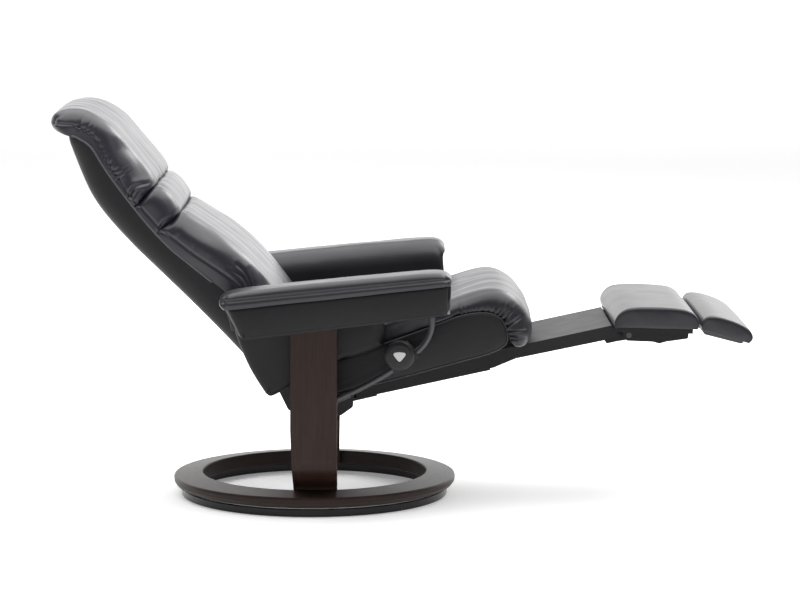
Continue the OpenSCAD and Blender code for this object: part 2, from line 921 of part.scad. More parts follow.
// Gear motor and outer tube of the recline drive, hung from the seat frame
module recline_motor() {
    end = ram_tube_from + ram_tube_len;
    lug = along(ram_o, ram_tilt, end + 20, 0);
    color(dark_steel)
        difference() {
            union() {
                shaft(ram_o, ram_tilt, ram_y, ram_tube_d, ram_tube_from, end);
                shaft(ram_o, ram_tilt, ram_y, ram_tube_d + 4, end, end + 66);
                bar(lug, 18, ram_y, frame_y - frame_t - 0.2);
            }
            shaft(ram_o, ram_tilt, ram_y, ram_d + 2 * run_fit, ram_tube_from - 1, end - 6);
        }
}

module recline_ram() {
    color(steel)
        difference() {
            union() {
                shaft(ram_o, ram_tilt, ram_y, ram_d, 0, ram_len);
                bar(ram_o, ram_pin_d + 2 * ram_pin_play + 8, ram_y - 5, ram_y + 5);
            }
            bar(ram_o, ram_pin_d + 2 * ram_pin_play, ram_y - 10, ram_y + 10);
        }
}

module back_hinge_pins() {
    color(steel)
        both()
            bar(back_o, hinge_pin_d, frame_y - frame_t - 6, frame_y + 1);
}

// Control plate with push buttons on the left side panel

button_names = 3;
button_p = [for (k = [0:button_names - 1]) seat_pt(300 + 26 * k, 6)];
plate_proud = 3;

module button_plate() {
    color(black)
        difference() {
            slab(rounded([seat_pt(282, -10), seat_pt(370, -10), seat_pt(370, 22), seat_pt(282, 22)], 8),
                seat_half, seat_half + plate_proud);
            for (p = button_p)
                bar(p, button_d + 2 * run_fit, seat_half + 0.8, seat_half + 9);
        }
}

module push_button(k) {
    color(steel)
        bar(button_p[k], button_d, seat_half + 2.4, seat_half + plate_proud + button_proud);
}

module button_leg_out() {
    push_button(2);
}

module button_leg_in() {
    push_button(1);
}

module button_back() {
    push_button(0);
}

// Back

// Side line of the shell's opening, from the top down, and its rounded rear line
back_rest = [[598, -9], [562, -1], [520, -9], [480, -16], [412, -24], [344, -29], [283, -29],
    [232, -23], [180, -16], [128, -9], [60, -2]];
back_rear = [[-70, -84], [0, -76], [136, -78], [264, -83], [340, -86], [423, -84], [484, -75],
    [547, -53], [610, -26]];

function flip_uv(pts) = [for (p = pts) [-p[0], p[1]]];
function shell_rear(t) = [for (p = smooth(concat(back_rear, [[612, -24]]), 3)) p + [0, t]];

module back_shell() {
    outer = concat(shell_rear(0), [[603, -14]], back_rest, [[0, 8], [-48, 8], [-66, -20]]);
    inner = concat([for (p = shell_rear(shell_t)) [min(p[0], 590), min(p[1], -17)]],
        [[590, 60], [-100, 60], [-100, -84 + shell_t]]);
    inside = back_half - shell_t;
    color(leather_side)
        difference() {
            slab(back_pts(outer), -back_half, back_half);
            slab(back_pts(inner), -inside, inside);
        }
}

// Padded wing that closes the gap between the seat and the arm
module back_wing(side) {
    wing = rounded([[-96, -97], [-20, -79], [34, -58], [122, -14], [104, 8], [0, 62], [-145, 213],
        [-196, 166], [-153, 73], [-112, -78]], 9, 4);
    root = rounded([[-86, -92], [-20, -78], [34, -57], [112, -14], [56, -4], [-30, 18], [-62, 0],
        [-100, -74]], 7, 4);
    color(leather_side)
        mirror([0, side < 0 ? 1 : 0, 0])
            union() {
                slab(back_pts(wing), wing_in, wing_out);
                slab(back_pts(root), back_half, wing_in);
            }
}

module back_wing_right() {
    back_wing(-1);
}

module back_wing_left() {
    back_wing(1);
}

module back_frame() {
    tube_y = frame_y - frame_t - 6 - back_tube_d / 2;
    color(dark_steel) {
        both()
            difference() {
                union() {
                    for (leg = [[-40, 300], [300, 478]])
                        shaft(back_pt(0, back_tube_v), 180 - back_pitch, tube_y, back_tube_d,
                            leg[0], leg[1]);
                    bar(back_o, 28, tube_y, frame_y - frame_t - 0.4);
                    bar(back_pt(0, back_tube_v), 30, tube_y, frame_y - frame_t - 0.4);
                }
                bar(back_o, hinge_pin_d + 2 * run_fit, frame_y - frame_t - 6.5, frame_y);
            }
        for (u = [20, 200, head_pivot[0], 468])
            bar(back_pt(u, back_tube_v), back_tube_d - 4, -tube_y, tube_y);
        difference() {
            union() {
                slab(back_pts([[head_pivot[0] - leaf_t / 2, back_tube_v],
                    [head_pivot[0] + leaf_t / 2, back_tube_v],
                    [head_pivot[0] + leaf_t / 2, head_pivot[1]],
                    [head_pivot[0] - leaf_t / 2, head_pivot[1]]]), -leaf_half, leaf_half);
                bar(back_pt(head_pivot[0], head_pivot[1]), knuckle_d, -leaf_half, leaf_half);
            }
            bar(back_pt(head_pivot[0], head_pivot[1]), head_pin_d + 2 * run_fit,
                -leaf_half - 1, leaf_half + 1);
        }
    }
}

back_tube_v = -44;
cushion_half = back_half - 6;

module back_cushion() {
    rest = flip_uv([for (p = [[318, -29], [283, -29], [232, -23], [180, -16], [128, -9], [60, -2],
        [36, 4], [24, 18], [0, 19]]) p + [0, gap]]);
    front = smooth(flip_uv([[-18, 25], [-26, 44], [-14, 60], [10, 66], [60, 71], [110, 74],
        [160, 73], [210, 67], [260, 56], [300, 43], [316, 30], [321, 8], [320, -14]]), 2);
    color(leather)
        pillow(back_o, -back_pitch, rest, front, cushion_half, 30, back_crown, 5, 4, 16);
}

module lumbar_cushion() {
    rest = flip_uv([[395, -25.4 + gap], [344, -29 + gap], [325, -29 + gap]]);
    front = smooth(flip_uv([[323.5, -12], [324, 14], [330, 34], [346, 43], [366, 46], [384, 42],
        [394, 28], [395.5, 4], [396, -14]]), 2);
    color(leather)
        pillow(back_o, -back_pitch, rest, front, cushion_half, 30, back_crown, 5, 4, 16);
}

// Line of the headrest's board, a little in front of the shell's opening
head_line = [[588, -6.5], [562, -1], [520, -9], [480, -16], [410, -24]];

module head_cushion() {
    rest = flip_uv([for (p = concat([[606, -13]], head_line)) p + [0, 2 * gap + leaf_t]]);
    front = smooth(flip_uv([[410, -10], [410, 8], [410, 24], [417, 37], [437, 43], [470, 48],
        [520, 53], [560, 54], [592, 50], [620, 42], [644, 26], [660, 6], [668, -14], [662, -32],
        [648, -38], [630, -34], [618, -22]]), 2);
    color(leather)
        pillow(back_o, -back_pitch, rest, front, cushion_half, 26, back_crown, 5, 4, 16);
}

// Board behind the headrest's stuffing, with a lip that ends in the outer hinge knuckles
module head_frame() {
    lip = head_pivot[0] + 4.5;
    board = concat([for (p = head_line) p + [0, gap]], [[lip, -24], [lip, head_pivot[1]],
        [lip + leaf_t, head_pivot[1]], [lip + leaf_t, -24 + leaf_t]],
        [for (k = [len(head_line) - 1:-1:0]) head_line[k] + [0, gap + leaf_t]]);
    color(dark_steel)
        union() {
            difference() {
                slab(back_pts(board), -cushion_half + 60, cushion_half - 60);
                bar(back_pt(head_pivot[0], head_pivot[1]), knuckle_d + 2, -leaf_half - 1, leaf_half + 1);
            }
            both()
                union() {
                    bar(back_pt(head_pivot[0], head_pivot[1]), knuckle_d, leaf_half + 1, leaf_half + 31);
                    slab(back_pts([[head_pivot[0], 12], [lip + 1, 12], [lip + 1, head_pivot[1]],
                        [head_pivot[0], head_pivot[1]]]), leaf_half + 1, leaf_half + 31);
                }
            bar(back_pt(head_pivot[0], head_pivot[1]), head_pin_d, -leaf_half - 2, leaf_half + 2);
        }
}

// Footrest

module leg_carrier() {
    half = tray_w / 2;
    outer = [leg_pt(carrier_back, tray_wall + 0.6), leg_pt(8, tray_wall + 0.6),
        leg_pt(61, carrier_low), leg_pt(266, carrier_low - 2), leg_pt(296, carrier_low - 2),
        leg_pt(296, 20), leg_pt(286, carrier_top), leg_pt(0, carrier_top),
        leg_pt(carrier_back, carrier_top)];
    inner = [leg_pt(carrier_back - 5, 6), leg_pt(10, 6), leg_pt(61, carrier_low + 3),
        leg_pt(280, carrier_low + 1), leg_pt(280, carrier_top - 3),
        leg_pt(carrier_back - 5, carrier_top - 3)];
    neck = rounded([leg_pt(286, -1), leg_pt(334, -3), leg_pt(334, 18), leg_pt(286, 20)], 3);
    color(dark_steel)
        difference() {
            union() {
                difference() {
                    slab(outer, -half, half);
                    slab(inner, -half + 3, half - 3);
                }
                slab(neck, -neck_w / 2, neck_w / 2);
                slab([leg_pt(268, -1), leg_pt(290, -1), leg_pt(290, 12), leg_pt(262, 12)],
                    -neck_w / 2, neck_w / 2);
            }
            bar(leg_pt(pad_hinge[0], pad_hinge[1]), foot_pin_d + 2 * run_fit, -half, half);
        }
}

module leg_ram() {
    color(steel)
        shaft(leg_o, leg_tilt, 0, leg_rod_d, carrier_back - 20, 280, leg_axis_n);
}

module foot_hinge_pin() {
    color(steel)
        bar(leg_pt(pad_hinge[0], pad_hinge[1]), foot_pin_d, -side_plate_y - side_plate_t,
            side_plate_y + side_plate_t);
}

function pad_pt(s, n) = along(pad_o, pad_tilt, s, n);

// Board and side plates under the main foot pad
module foot_mechanism() {
    pin = leg_pt(pad_hinge[0], pad_hinge[1]);
    plate = rounded([pad_pt(24, -9), [pin[0] - 14, pin[1] - 2], [pin[0] - 4, pin[1] - 12],
        [762, 369], [778, 365], [792, 369], [842, 376], [845, 398], pad_pt(171, -9)], 3, 3);
    color(dark_steel) {
        slab([pad_pt(2, -pad_board_t), pad_pt(173, -pad_board_t), pad_pt(173, 0), pad_pt(2, 0)],
            -pad_w / 2 + 6, pad_w / 2 - 6);
        both()
            difference() {
                slab(plate, side_plate_y, side_plate_y + side_plate_t);
                bar(pin, foot_pin_d + 2 * run_fit, side_plate_y - 5, side_plate_y + 10);
            }
        both()
            difference() {
                union() {
                    bar(flap_pivot, ear_d, ear_y, ear_y + ear_t);
                    slab([pad_pt(172, -pad_board_t), flap_pivot + [0, -ear_d / 2],
                        flap_pivot + [0, 3], pad_pt(172, -1)], ear_y, ear_y + ear_t);
                }
                bar(flap_pivot, flap_pin_d + 2 * run_fit, ear_y - 1, ear_y + ear_t + 1);
            }
    }
}

module foot_pad() {
    front = smooth([[183, 6], [187, 14], [182, 28], [168, 40], [134, 45], [84, 47], [40, 45],
        [12, 36], [0, 22], [-2, 6]], 3);
    color(leather)
        pillow(pad_o, pad_tilt, [[0, gap], [177, gap]], front, pad_w / 2, 14, pad_crown,
            edge = 3, inner = 8);
}

// Board under the flap, hinged on two pins at the main board's end
module flap_board() {
    y0 = ear_y + ear_t + gap;
    color(dark_steel) {
        slab(place(flap_o, flap_tilt, rounded([[12, -9], [96, -6], [104, 0], [12, 0]], 1.5, 2)),
            -pad_w / 2 + 8, pad_w / 2 - 8);
        both() {
            bar(flap_pivot, ear_d, y0, y0 + ear_t);
            slab([flap_pivot + [0, -ear_d / 2], along(flap_o, flap_tilt, 16, -8.5),
                along(flap_o, flap_tilt, 16, -0.5), flap_pivot + [0, 3]], y0, y0 + ear_t);
            bar(flap_pivot, flap_pin_d, ear_y - 2, y0 + 1);
        }
    }
}

module foot_flap() {
    front = smooth([[111, 3], [118, 13], [112, 26], [90, 35], [54, 38.5], [16, 34], [-1, 17],
        [2, 5]], 3);
    color(leather)
        pillow(flap_o, flap_tilt, [[5, gap], [107, gap]], front, pad_w / 2, 14, pad_crown,
            edge = 3, inner = 8);
}

floor_ring();
slide_pads();
turn_track();
track_screws();
base_ring();
post_right();
post_left();
foot_bolts();
cross_tube();
cross_bolts();
ram_clevis();
arm_core_right();
arm_core_left();
arm_boxing_right();
arm_boxing_left();
arm_pad_right();
arm_pad_left();
arm_screws();
glide_rod_right();
glide_rod_left();
rod_socket_right();
rod_socket_left();
seat_frame();
seat_board();
seat_cushion();
side_panel_right();
side_panel_left();
glide_block_right();
glide_block_left();
leg_sleeve();
power_pan();
control_box();
power_inlet();
leg_motor();
recline_motor();
back_hinge_pins();
button_plate();
wheel_right();
wheel_left();
wheel_insert_right();
wheel_insert_left();
recline_ram();
back_frame();
back_shell();
back_wing_right();
back_wing_left();
back_cushion();
lumbar_cushion();
head_cushion();
head_frame();
leg_carrier();
leg_ram();
foot_hinge_pin();
foot_mechanism();
foot_pad();
button_leg_out();
button_leg_in();
button_back();
flap_board();
foot_flap();
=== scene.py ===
# %% [markdown]
# # A power recliner in near-black leather
# The chair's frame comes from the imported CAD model: wooden ring, posts, rods, sleeve, hinges and all
# that moves. This lesson dresses that frame: every leather piece is modelled anew, and every other
# piece keeps its CAD shape and gets a finish made of nodes.

# %% Load the frame
import json
import math
import bpy
import numpy as np
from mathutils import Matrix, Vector, noise


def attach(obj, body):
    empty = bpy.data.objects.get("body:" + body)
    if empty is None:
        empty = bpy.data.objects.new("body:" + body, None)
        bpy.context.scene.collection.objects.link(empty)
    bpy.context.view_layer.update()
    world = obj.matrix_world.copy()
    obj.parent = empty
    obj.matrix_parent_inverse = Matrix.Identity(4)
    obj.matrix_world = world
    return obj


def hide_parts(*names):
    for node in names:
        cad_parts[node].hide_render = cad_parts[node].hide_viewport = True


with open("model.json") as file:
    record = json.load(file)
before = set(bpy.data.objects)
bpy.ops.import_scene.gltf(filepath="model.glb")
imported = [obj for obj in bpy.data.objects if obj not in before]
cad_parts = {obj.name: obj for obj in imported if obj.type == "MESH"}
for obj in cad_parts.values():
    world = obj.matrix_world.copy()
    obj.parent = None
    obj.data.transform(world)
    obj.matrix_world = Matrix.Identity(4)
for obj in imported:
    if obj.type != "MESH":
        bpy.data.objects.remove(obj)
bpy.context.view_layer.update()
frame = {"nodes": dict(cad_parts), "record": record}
nodes = frame["nodes"]
MM = 0.001

# %% [markdown]
# ## Places
# The seat, the back, the arms and the two foot pads each lean at their own angle, so each has a small
# frame of its own: a zero point and a slope. A point is then named by its way along the piece and its
# height square to it, in millimetres, as an upholsterer would measure it on the bench. What lies across
# the chair is counted from its middle plane.

# %% Local frames
SEAT = ((0, 300), 14.5)
BACK = ((-98, 407), -46.8)
ARM = ((0, 427), 6.0)
PAD = ((673, 411), -1.5)
FLAP = ((862, 407), -16.5)


def outline(points, steps=6):
    """A smooth open curve through the points."""
    p = np.array(points, float)
    p = np.vstack([p[0], p, p[-1]])
    t = np.linspace(0, 1, steps, endpoint=False)[:, None]
    runs = []
    for a, b, c, d in zip(p[:-3], p[1:-2], p[2:-1], p[3:]):
        runs.append(0.5 * (2 * b + (c - a) * t + (2 * a - 5 * b + 4 * c - d) * t * t
                           + (3 * b - a - 3 * c + d) * t ** 3))
    return np.vstack(runs + [p[-1:]])


def evenly(line, count, start=1.0, times=1.0):
    """The same line with count points, evenly spaced, but times closer after the given share of it."""
    step = np.r_[0, np.cumsum(np.linalg.norm(np.diff(line, axis=0), axis=1))]
    want = np.linspace(0, start + times * (1 - start), count)
    want = step[-1] * np.where(want < start, want, start + (want - start) / times)
    return np.stack([np.interp(want, step, line[:, k]) for k in range(line.shape[1])], 1)


def to_world(place, flat, y):
    """Points of a leaning frame, in mm, as places in the chair's frame, in metres."""
    (ox, oz), tilt = place
    c, s = math.cos(math.radians(tilt)), math.sin(math.radians(tilt))
    x = ox + flat[..., 0] * c - flat[..., 1] * s
    z = oz + flat[..., 0] * s + flat[..., 1] * c
    return np.stack([x, np.broadcast_to(y, x.shape), z], -1) * MM


def back_line(points):
    """The back is measured upwards, which is against its frame's direction."""
    return [(-u, v) for u, v in points]


# %% [markdown]
# ## Stuffed pieces
# A cushion here starts as a lattice: a block of quads that is bent between the line it rests on and
# the line of its front. The upper edges are rounded, the sides bulge a little, and the middle stands
# higher than the edges. Three numbers are kept on every vertex, so that seams and pleats can be
# pressed in later at the right place: how far across, how far along and how high it lies.

# %% The lattice
def lattice(name, place, rest, front, half, edge, cells, crown=0.0, bulge=0.0, middle=0.0, ends=0.0,
            skirt=0.0, close=(1.0, 1.0)):
    """A closed block of quads between two lines, half wide on each side of y = middle.

    edge gives how far in the rounding starts, as shares of the length and their widths. crown and bulge
    are how far the middle and the sides swell. ends rounds the upright corners seen from above. skirt
    lets the side it points to roll over and hang down that far. close packs the cells closer after a
    share of the length.
    """
    across, along, high = cells
    r, f = (evenly(np.array(line, float), along + 1, *close) for line in (rest, front))
    index, rows = {}, []
    for i in range(across + 1):
        for j in range(along + 1):
            for k in range(high + 1):
                if i in (0, across) or j in (0, along) or k in (0, high):
                    index[i, j, k] = len(rows)
                    rows.append((2 * i / across - 1, j, k / high))
    a, j, c = np.array(rows).T
    j = j.astype(int)
    reach = f[j] - r[j]
    tall = np.maximum(np.linalg.norm(reach, axis=1), 0.1)
    if callable(half):
        half = half(r[j] + reach * c[:, None])
    y, h = a * half, c * tall
    usual = 0.8 * np.median(tall)
    wide = np.interp(j / along, *edge) * np.clip(tall / usual, 0.12, 1)
    rise = np.minimum(wide, 0.9 * tall)
    dy, dh = (np.abs(y) - half + wide) / wide, (h - tall + rise) / rise
    corner = (dy > 0) & (dh > 0)
    pull = np.where(corner, np.maximum(dy, dh) / np.maximum(np.hypot(dy, dh), 1e-6), 1)
    y = np.where(corner, np.sign(y) * (half - wide + dy * pull * wide), y)
    h = np.where(corner, tall - rise + dh * pull * rise, h)
    y = y + np.sign(a) * bulge * np.sin(np.pi * np.clip(h / tall, 0, 1)) ** 0.7 * np.abs(a) ** 10
    h = h + crown * (1 - (y / half) ** 2) * h / tall
    flat = r[j] + reach * (h / tall)[:, None]
    if skirt:
        turned, roll = a * np.sign(skirt), 50.0
        bent = np.clip((turned * half - half + roll) / roll, 0, 1) * math.pi / 2
        full = roll * np.clip(tall / usual, 0.1, 1)
        over = bent > 0
        y = np.where(over & (c > 0), np.sign(a) * (half - roll * (1 - np.sin(bent))), y)
        hang = r[j][:, 1] - abs(skirt)
        top = f[j][:, 1] + crown * (1 - (y / half) ** 2)
        flat[:, 1] = np.where(over & (c == 1), top - full * (1 - np.cos(bent)), flat[:, 1])
        flat[:, 1] = np.where(turned == 1, hang + (top - full - hang) * c, flat[:, 1])
        hem = (c == 0) & (turned > 1 - 3.9 / across) & (turned < 1)
        flat[:, 1] = np.where(hem, hang, flat[:, 1])
        y = np.where(hem, np.sign(a) * (half - 4), y)
    if ends:
        share = j / along
        first = r[0][0] + (f[0] - r[0])[0] * np.clip(h / tall, 0, 1)
        last = r[-1][0] + (f[-1] - r[-1])[0] * np.clip(h / tall, 0, 1)
        ds = np.maximum(ends - (flat[:, 0] - first), ends - (last - flat[:, 0]))
        dy = np.abs(y) - (half - ends)
        both = (ds > 0) & (dy > 0)
        shrink = np.where(both, np.maximum(ds, dy) / np.maximum(np.hypot(ds, dy), 1e-6), 1)
        y = np.where(both, np.sign(y) * (half - ends + dy * shrink), y)
        toward = np.where(share < 0.5, first + ends - ds * shrink, last - ends + ds * shrink)
        flat[:, 0] = np.where(both, toward, flat[:, 0])
    faces = []
    for i in (0, across):
        faces += [(index[i, b, k], index[i, b + 1, k], index[i, b + 1, k + 1], index[i, b, k + 1])
                  for b in range(along) for k in range(high)]
    for b in (0, along):
        faces += [(index[i, b, k], index[i + 1, b, k], index[i + 1, b, k + 1], index[i, b, k + 1])
                  for i in range(across) for k in range(high)]
    for k in (0, high):
        faces += [(index[i, b, k], index[i + 1, b, k], index[i + 1, b + 1, k], index[i, b + 1, k])
                  for i in range(across) for b in range(along)]
    mesh = bpy.data.meshes.new(name)
    mesh.from_pydata(to_world(place, flat, y + middle).tolist(), [], faces)
    piece = bpy.data.objects.new(name, mesh)
    bpy.context.scene.collection.objects.link(piece)
    for label, values in (("across", y), ("along", j / along), ("high", h), ("tall", tall)):
        mesh.attributes.new(label, "FLOAT", "POINT").data.foreach_set("value", values.astype(np.float32))
    pick(piece)
    bpy.ops.object.mode_set(mode="EDIT")
    bpy.ops.mesh.select_all(action="SELECT")
    bpy.ops.mesh.normals_make_consistent(inside=False)
    bpy.ops.object.mode_set(mode="OBJECT")
    return piece


def pick(piece):
    """Select one piece alone."""
    bpy.ops.object.select_all(action="DESELECT")
    piece.select_set(True)
    bpy.context.view_layer.objects.active = piece


def modify(piece, kind, **settings):
    """Add one modifier, set it up and apply it."""
    pick(piece)
    mod = piece.modifiers.new(kind.lower(), kind)
    for key, value in settings.items():
        setattr(mod, key, value)
    bpy.ops.object.modifier_apply(modifier=mod.name)


def smooth(piece, angle=None):
    pick(piece)
    if angle is None:
        bpy.ops.object.shade_smooth()
    else:
        bpy.ops.object.shade_smooth_by_angle(angle=math.radians(angle))


def places(piece):
    co = np.zeros(len(piece.data.vertices) * 3)
    piece.data.vertices.foreach_get("co", co)
    return co.reshape(-1, 3)


def set_places(piece, co):
    piece.data.vertices.foreach_set("co", co.ravel())
    piece.data.update()


def tell(*pieces):
    """Print what was made: its name, how many points it has and how large it is."""
    for piece in pieces:
        co = places(piece) / MM
        size = " x ".join(str(round(float(v))) for v in np.ptp(co, axis=0))
        print(piece.name, len(co), "points,", size, "mm")


def kept(piece, label):
    values = np.zeros(len(piece.data.vertices), np.float32)
    piece.data.attributes[label].data.foreach_get("value", values)
    return values.astype(float)


def measure(piece, place):
    """Where each vertex lies in the piece's own frame, in mm, and how much it faces sideways."""
    co = places(piece) / MM
    (ox, oz), tilt = place
    c, s = math.cos(math.radians(tilt)), math.sin(math.radians(tilt))
    x, z = co[:, 0] - ox, co[:, 2] - oz
    normals = np.zeros(len(co) * 3)
    piece.data.vertices.foreach_get("normal", normals)
    normals = normals.reshape(-1, 3)
    return {"s": x * c + z * s, "n": z * c - x * s, "y": co[:, 1], "normals": normals,
            "side": np.abs(normals[:, 1]), "along": kept(piece, "along"), "high": kept(piece, "high"),
            "tall": kept(piece, "tall"), "across": kept(piece, "across")}


def press(piece, place, *shapes):
    """Move each vertex along its normal by the sum of the shapes, in mm: below 0 is inwards."""
    m = measure(piece, place)
    move = sum(shape(m) for shape in shapes)
    set_places(piece, places(piece) + m["normals"] * (move * MM)[:, None])


def near(line, s, n):
    """Distance of each point to a line, how far along the line it is, and on which side of it."""
    line = np.array(line, float)
    best = np.full(len(s), 1e9)
    run, hand = np.zeros(len(s)), np.zeros(len(s))
    done = 0.0
    for a, b in zip(line[:-1], line[1:]):
        d = b - a
        size = np.hypot(*d)
        t = np.clip(((s - a[0]) * d[0] + (n - a[1]) * d[1]) / size ** 2, 0, 1)
        gap = np.hypot(s - a[0] - t * d[0], n - a[1] - t * d[1])
        closer = gap < best
        best = np.where(closer, gap, best)
        run = np.where(closer, done + t * size, run)
        hand = np.where(closer, np.sign((n - a[1]) * d[0] - (s - a[0]) * d[1]), hand)
        done += size
    return best, run, hand, done


def seam(line, depth=2.6, width=2.6):
    """A sewn line along the sides."""
    curve = outline(line, 4)

    def shape(m):
        gap = near(curve, m["s"], m["n"])[0]
        return -depth * np.exp(-(gap / width) ** 2) * np.clip(m["side"] * 2.2 - 0.7, 0, 1)
    return shape


def fold(line, depth=3.5, width=4.0, lift=0.0):
    """A fold on the sides that starts deep at its first point and dies out at its last one."""
    curve = outline(line, 5)

    def shape(m):
        gap, run, hand, size = near(curve, m["s"], m["n"])
        fade = np.sin(np.pi * np.clip(0.15 + 0.85 * (1 - run / size), 0, 1) / 2) ** 0.8
        roll = lift * np.exp(-((gap - 2.2 * width) / (1.3 * width)) ** 2)
        return (roll - depth * np.exp(-(gap / width) ** 2)) * fade * np.clip(m["side"] * 2 - 0.3, 0, 1)
    return shape


def gathers(line, hand_side, pitch, depth, reach, seed=1.0):
    """Short valleys square to a seam, on one hand of it, each with its own depth and length."""
    curve = outline(line, 4)

    def shape(m):
        gap, run, hand, size = near(curve, m["s"], m["n"])
        place_at = run / pitch + 0.25 * np.sin(run * 0.11 + seed)
        number = np.round(place_at)
        luck = 0.5 + 0.5 * np.sin(number * 12.9898 + seed * 4.1)
        off = (place_at - number) * pitch + 0.18 * gap * np.sin(number * 7.7 + seed)
        valley = np.exp(-(off / (pitch * 0.17)) ** 2) - 0.3
        body = np.exp(-(gap / (reach * (0.45 + 0.75 * luck))) ** 2)
        on = (hand == hand_side) | (gap < 1.5)
        return -depth * (0.4 + 0.8 * luck) * valley * body * on * np.clip(m["side"] * 2 - 0.25, 0, 1)
    return shape


# %% [markdown]
# ## Filling
# Leather over foam is tight where it is sewn and full between the seams. The cloth simulation gives
# that: the piece is blown up a little with its resting edge held, and how far a point may travel is
# evened out and capped, because real foam does not balloon.

# %% Blow up with cloth
def fill(piece, cap, pressure=4.0, frames=20, slack=0.02, rounds=10):
    """Blow the piece up, even its movement out between neighbours and hold it to cap mm."""
    before = places(piece)
    held = piece.vertex_groups.new(name="held")
    high = kept(piece, "high")
    held.add([int(v) for v in np.flatnonzero(high < 0.5)], 1.0, "REPLACE")
    pick(piece)
    cloth = piece.modifiers.new("filling", "CLOTH")
    cloth.settings.use_pressure = True
    cloth.settings.uniform_pressure_force = pressure
    cloth.settings.vertex_group_mass = "held"
    cloth.settings.quality = 6
    cloth.settings.mass = 0.4
    cloth.settings.tension_stiffness = 25
    cloth.settings.compression_stiffness = 25
    cloth.settings.shear_stiffness = 15
    cloth.settings.bending_stiffness = 1.5
    cloth.settings.shrink_min = -slack
    cloth.settings.effector_weights.gravity = 0
    scene = bpy.context.scene
    for step in range(1, frames + 1):
        scene.frame_set(step)
    bpy.ops.object.modifier_apply(modifier=cloth.name)
    scene.frame_set(1)
    move = places(piece) - before
    ends = np.zeros(len(piece.data.edges) * 2, int)
    piece.data.edges.foreach_get("vertices", ends)
    here, there = ends.reshape(-1, 2).T
    count = 1 + np.bincount(ends, minlength=len(move))[:, None]
    for again in range(rounds):
        total = move.copy()
        np.add.at(total, here, move[there])
        np.add.at(total, there, move[here])
        move = total / count
    far = np.linalg.norm(move, axis=1, keepdims=True)
    limit = cap * MM
    set_places(piece, before + move * np.minimum(1, limit / np.maximum(far, 1e-9)))
    print(piece.name, "wanted to move", round(float(far.max()) / MM, 1), "mm, held to", cap, "mm")


# %% [markdown]
# ## Flat upholstered panels and piping
# A side panel is a flat board with thin padding, so it is drawn as its outline with a soft edge.
# Piping is a thin cord sewn into a seam; it follows the same outline.

# %% Panels and piping
def panel(name, place, points, y_in, y_out, edge, puff=2.0, rounds=6, steps=5):
    """A flat panel with the given outline between two heights across, soft at its outer edge."""
    line = outline(list(points) + [points[0]], steps)[:-1]
    ahead, behind = np.roll(line, -1, axis=0), np.roll(line, 1, axis=0)
    along = ahead - behind
    along /= np.linalg.norm(along, axis=1)[:, None]
    inward = np.stack([-along[:, 1], along[:, 0]], 1)
    area = np.sum(line[:, 0] * ahead[:, 1] - ahead[:, 0] * line[:, 1])
    inward *= np.sign(area)
    apart = line[None] - line[:, None]
    ahead_of = np.einsum("ijk,ik->ij", apart, inward)
    room = np.where(ahead_of > 1e-6, (apart ** 2).sum(2) / np.maximum(2 * ahead_of, 1e-6), 1e9).min(1)
    out = np.sign(y_out - y_in)
    rings = [(2.0, y_in), (0.0, y_in + out * 2.0)]
    for k in range(rounds + 1):
        t = math.pi / 2 * k / rounds
        rings.append((edge * (1 - math.cos(t)), y_out - out * edge * (1 - math.sin(t))))
    rings.append((edge + 5.0, y_out + out * puff))
    count = len(line)
    spots = []
    for inset, y in rings:
        ring = line + inward * np.minimum(inset, 0.8 * room)[:, None]
        spots.append(to_world(place, ring, np.full(count, y)))
    spots = np.concatenate(spots)
    faces = [tuple(range(count)), tuple(range((len(rings) - 1) * count, len(rings) * count))]
    for k in range(len(rings) - 1):
        for n in range(count):
            m = (n + 1) % count
            faces.append((k * count + n, k * count + m, (k + 1) * count + m, (k + 1) * count + n))
    mesh = bpy.data.meshes.new(name)
    mesh.from_pydata(spots.tolist(), [], faces)
    piece = bpy.data.objects.new(name, mesh)
    bpy.context.scene.collection.objects.link(piece)
    pick(piece)
    bpy.ops.object.mode_set(mode="EDIT")
    bpy.ops.mesh.select_all(action="SELECT")
    bpy.ops.mesh.normals_make_consistent(inside=False)
    bpy.ops.object.mode_set(mode="OBJECT")
    smooth(piece, 40)
    return piece


def piping(name, spots, body, thick=2.0, closed=False, material=None):
    """A round cord through places given in metres."""
    data = bpy.data.curves.new(name, "CURVE")
    data.dimensions = "3D"
    data.bevel_depth = thick * MM
    data.bevel_resolution = 2
    data.use_fill_caps = True
    line = data.splines.new("POLY")
    line.points.add(len(spots) - 1)
    line.points.foreach_set("co", np.c_[spots, np.ones(len(spots))].ravel())
    line.use_cyclic_u = closed
    piece = bpy.data.objects.new(name, data)
    bpy.context.scene.collection.objects.link(piece)
    pick(piece)
    bpy.ops.object.convert(target="MESH")
    piece = bpy.context.object
    smooth(piece)
    # Without a given material the cord takes the piping leather, which is painted lighter as a painted
    # highlight.
    dress(piece, material or pipe_hide_painted_highlight)
    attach(piece, body)
    return piece


def finish(piece, body, node, material):
    """Give a leather piece its finish, hide the CAD node it stands for and hang it on its body."""
    dress(piece, material)
    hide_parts(node)
    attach(piece, body)


# %% [markdown]
# Creases in leather are never evenly spaced. These two helpers give numbers that wander smoothly and
# come out the same on every run, so that pleats and swellings can follow them.

# %% Wandering numbers for wrinkles
def wander(x, seed):
    """A smooth number that wanders between about -1 and 1 as x runs."""
    return np.array([noise.noise(Vector((float(v), seed * 7.3, seed * 3.1))) for v in x]) * 1.8


def wander2(x, y, seed):
    return np.array([noise.noise(Vector((float(a), float(b), seed * 5.7))) for a, b in zip(x, y)]) * 1.8


# %% [markdown]
# ## Finishes
# Every material is made of nodes. A small class wraps a socket, so that shader maths reads like
# arithmetic, and one method makes every other node.

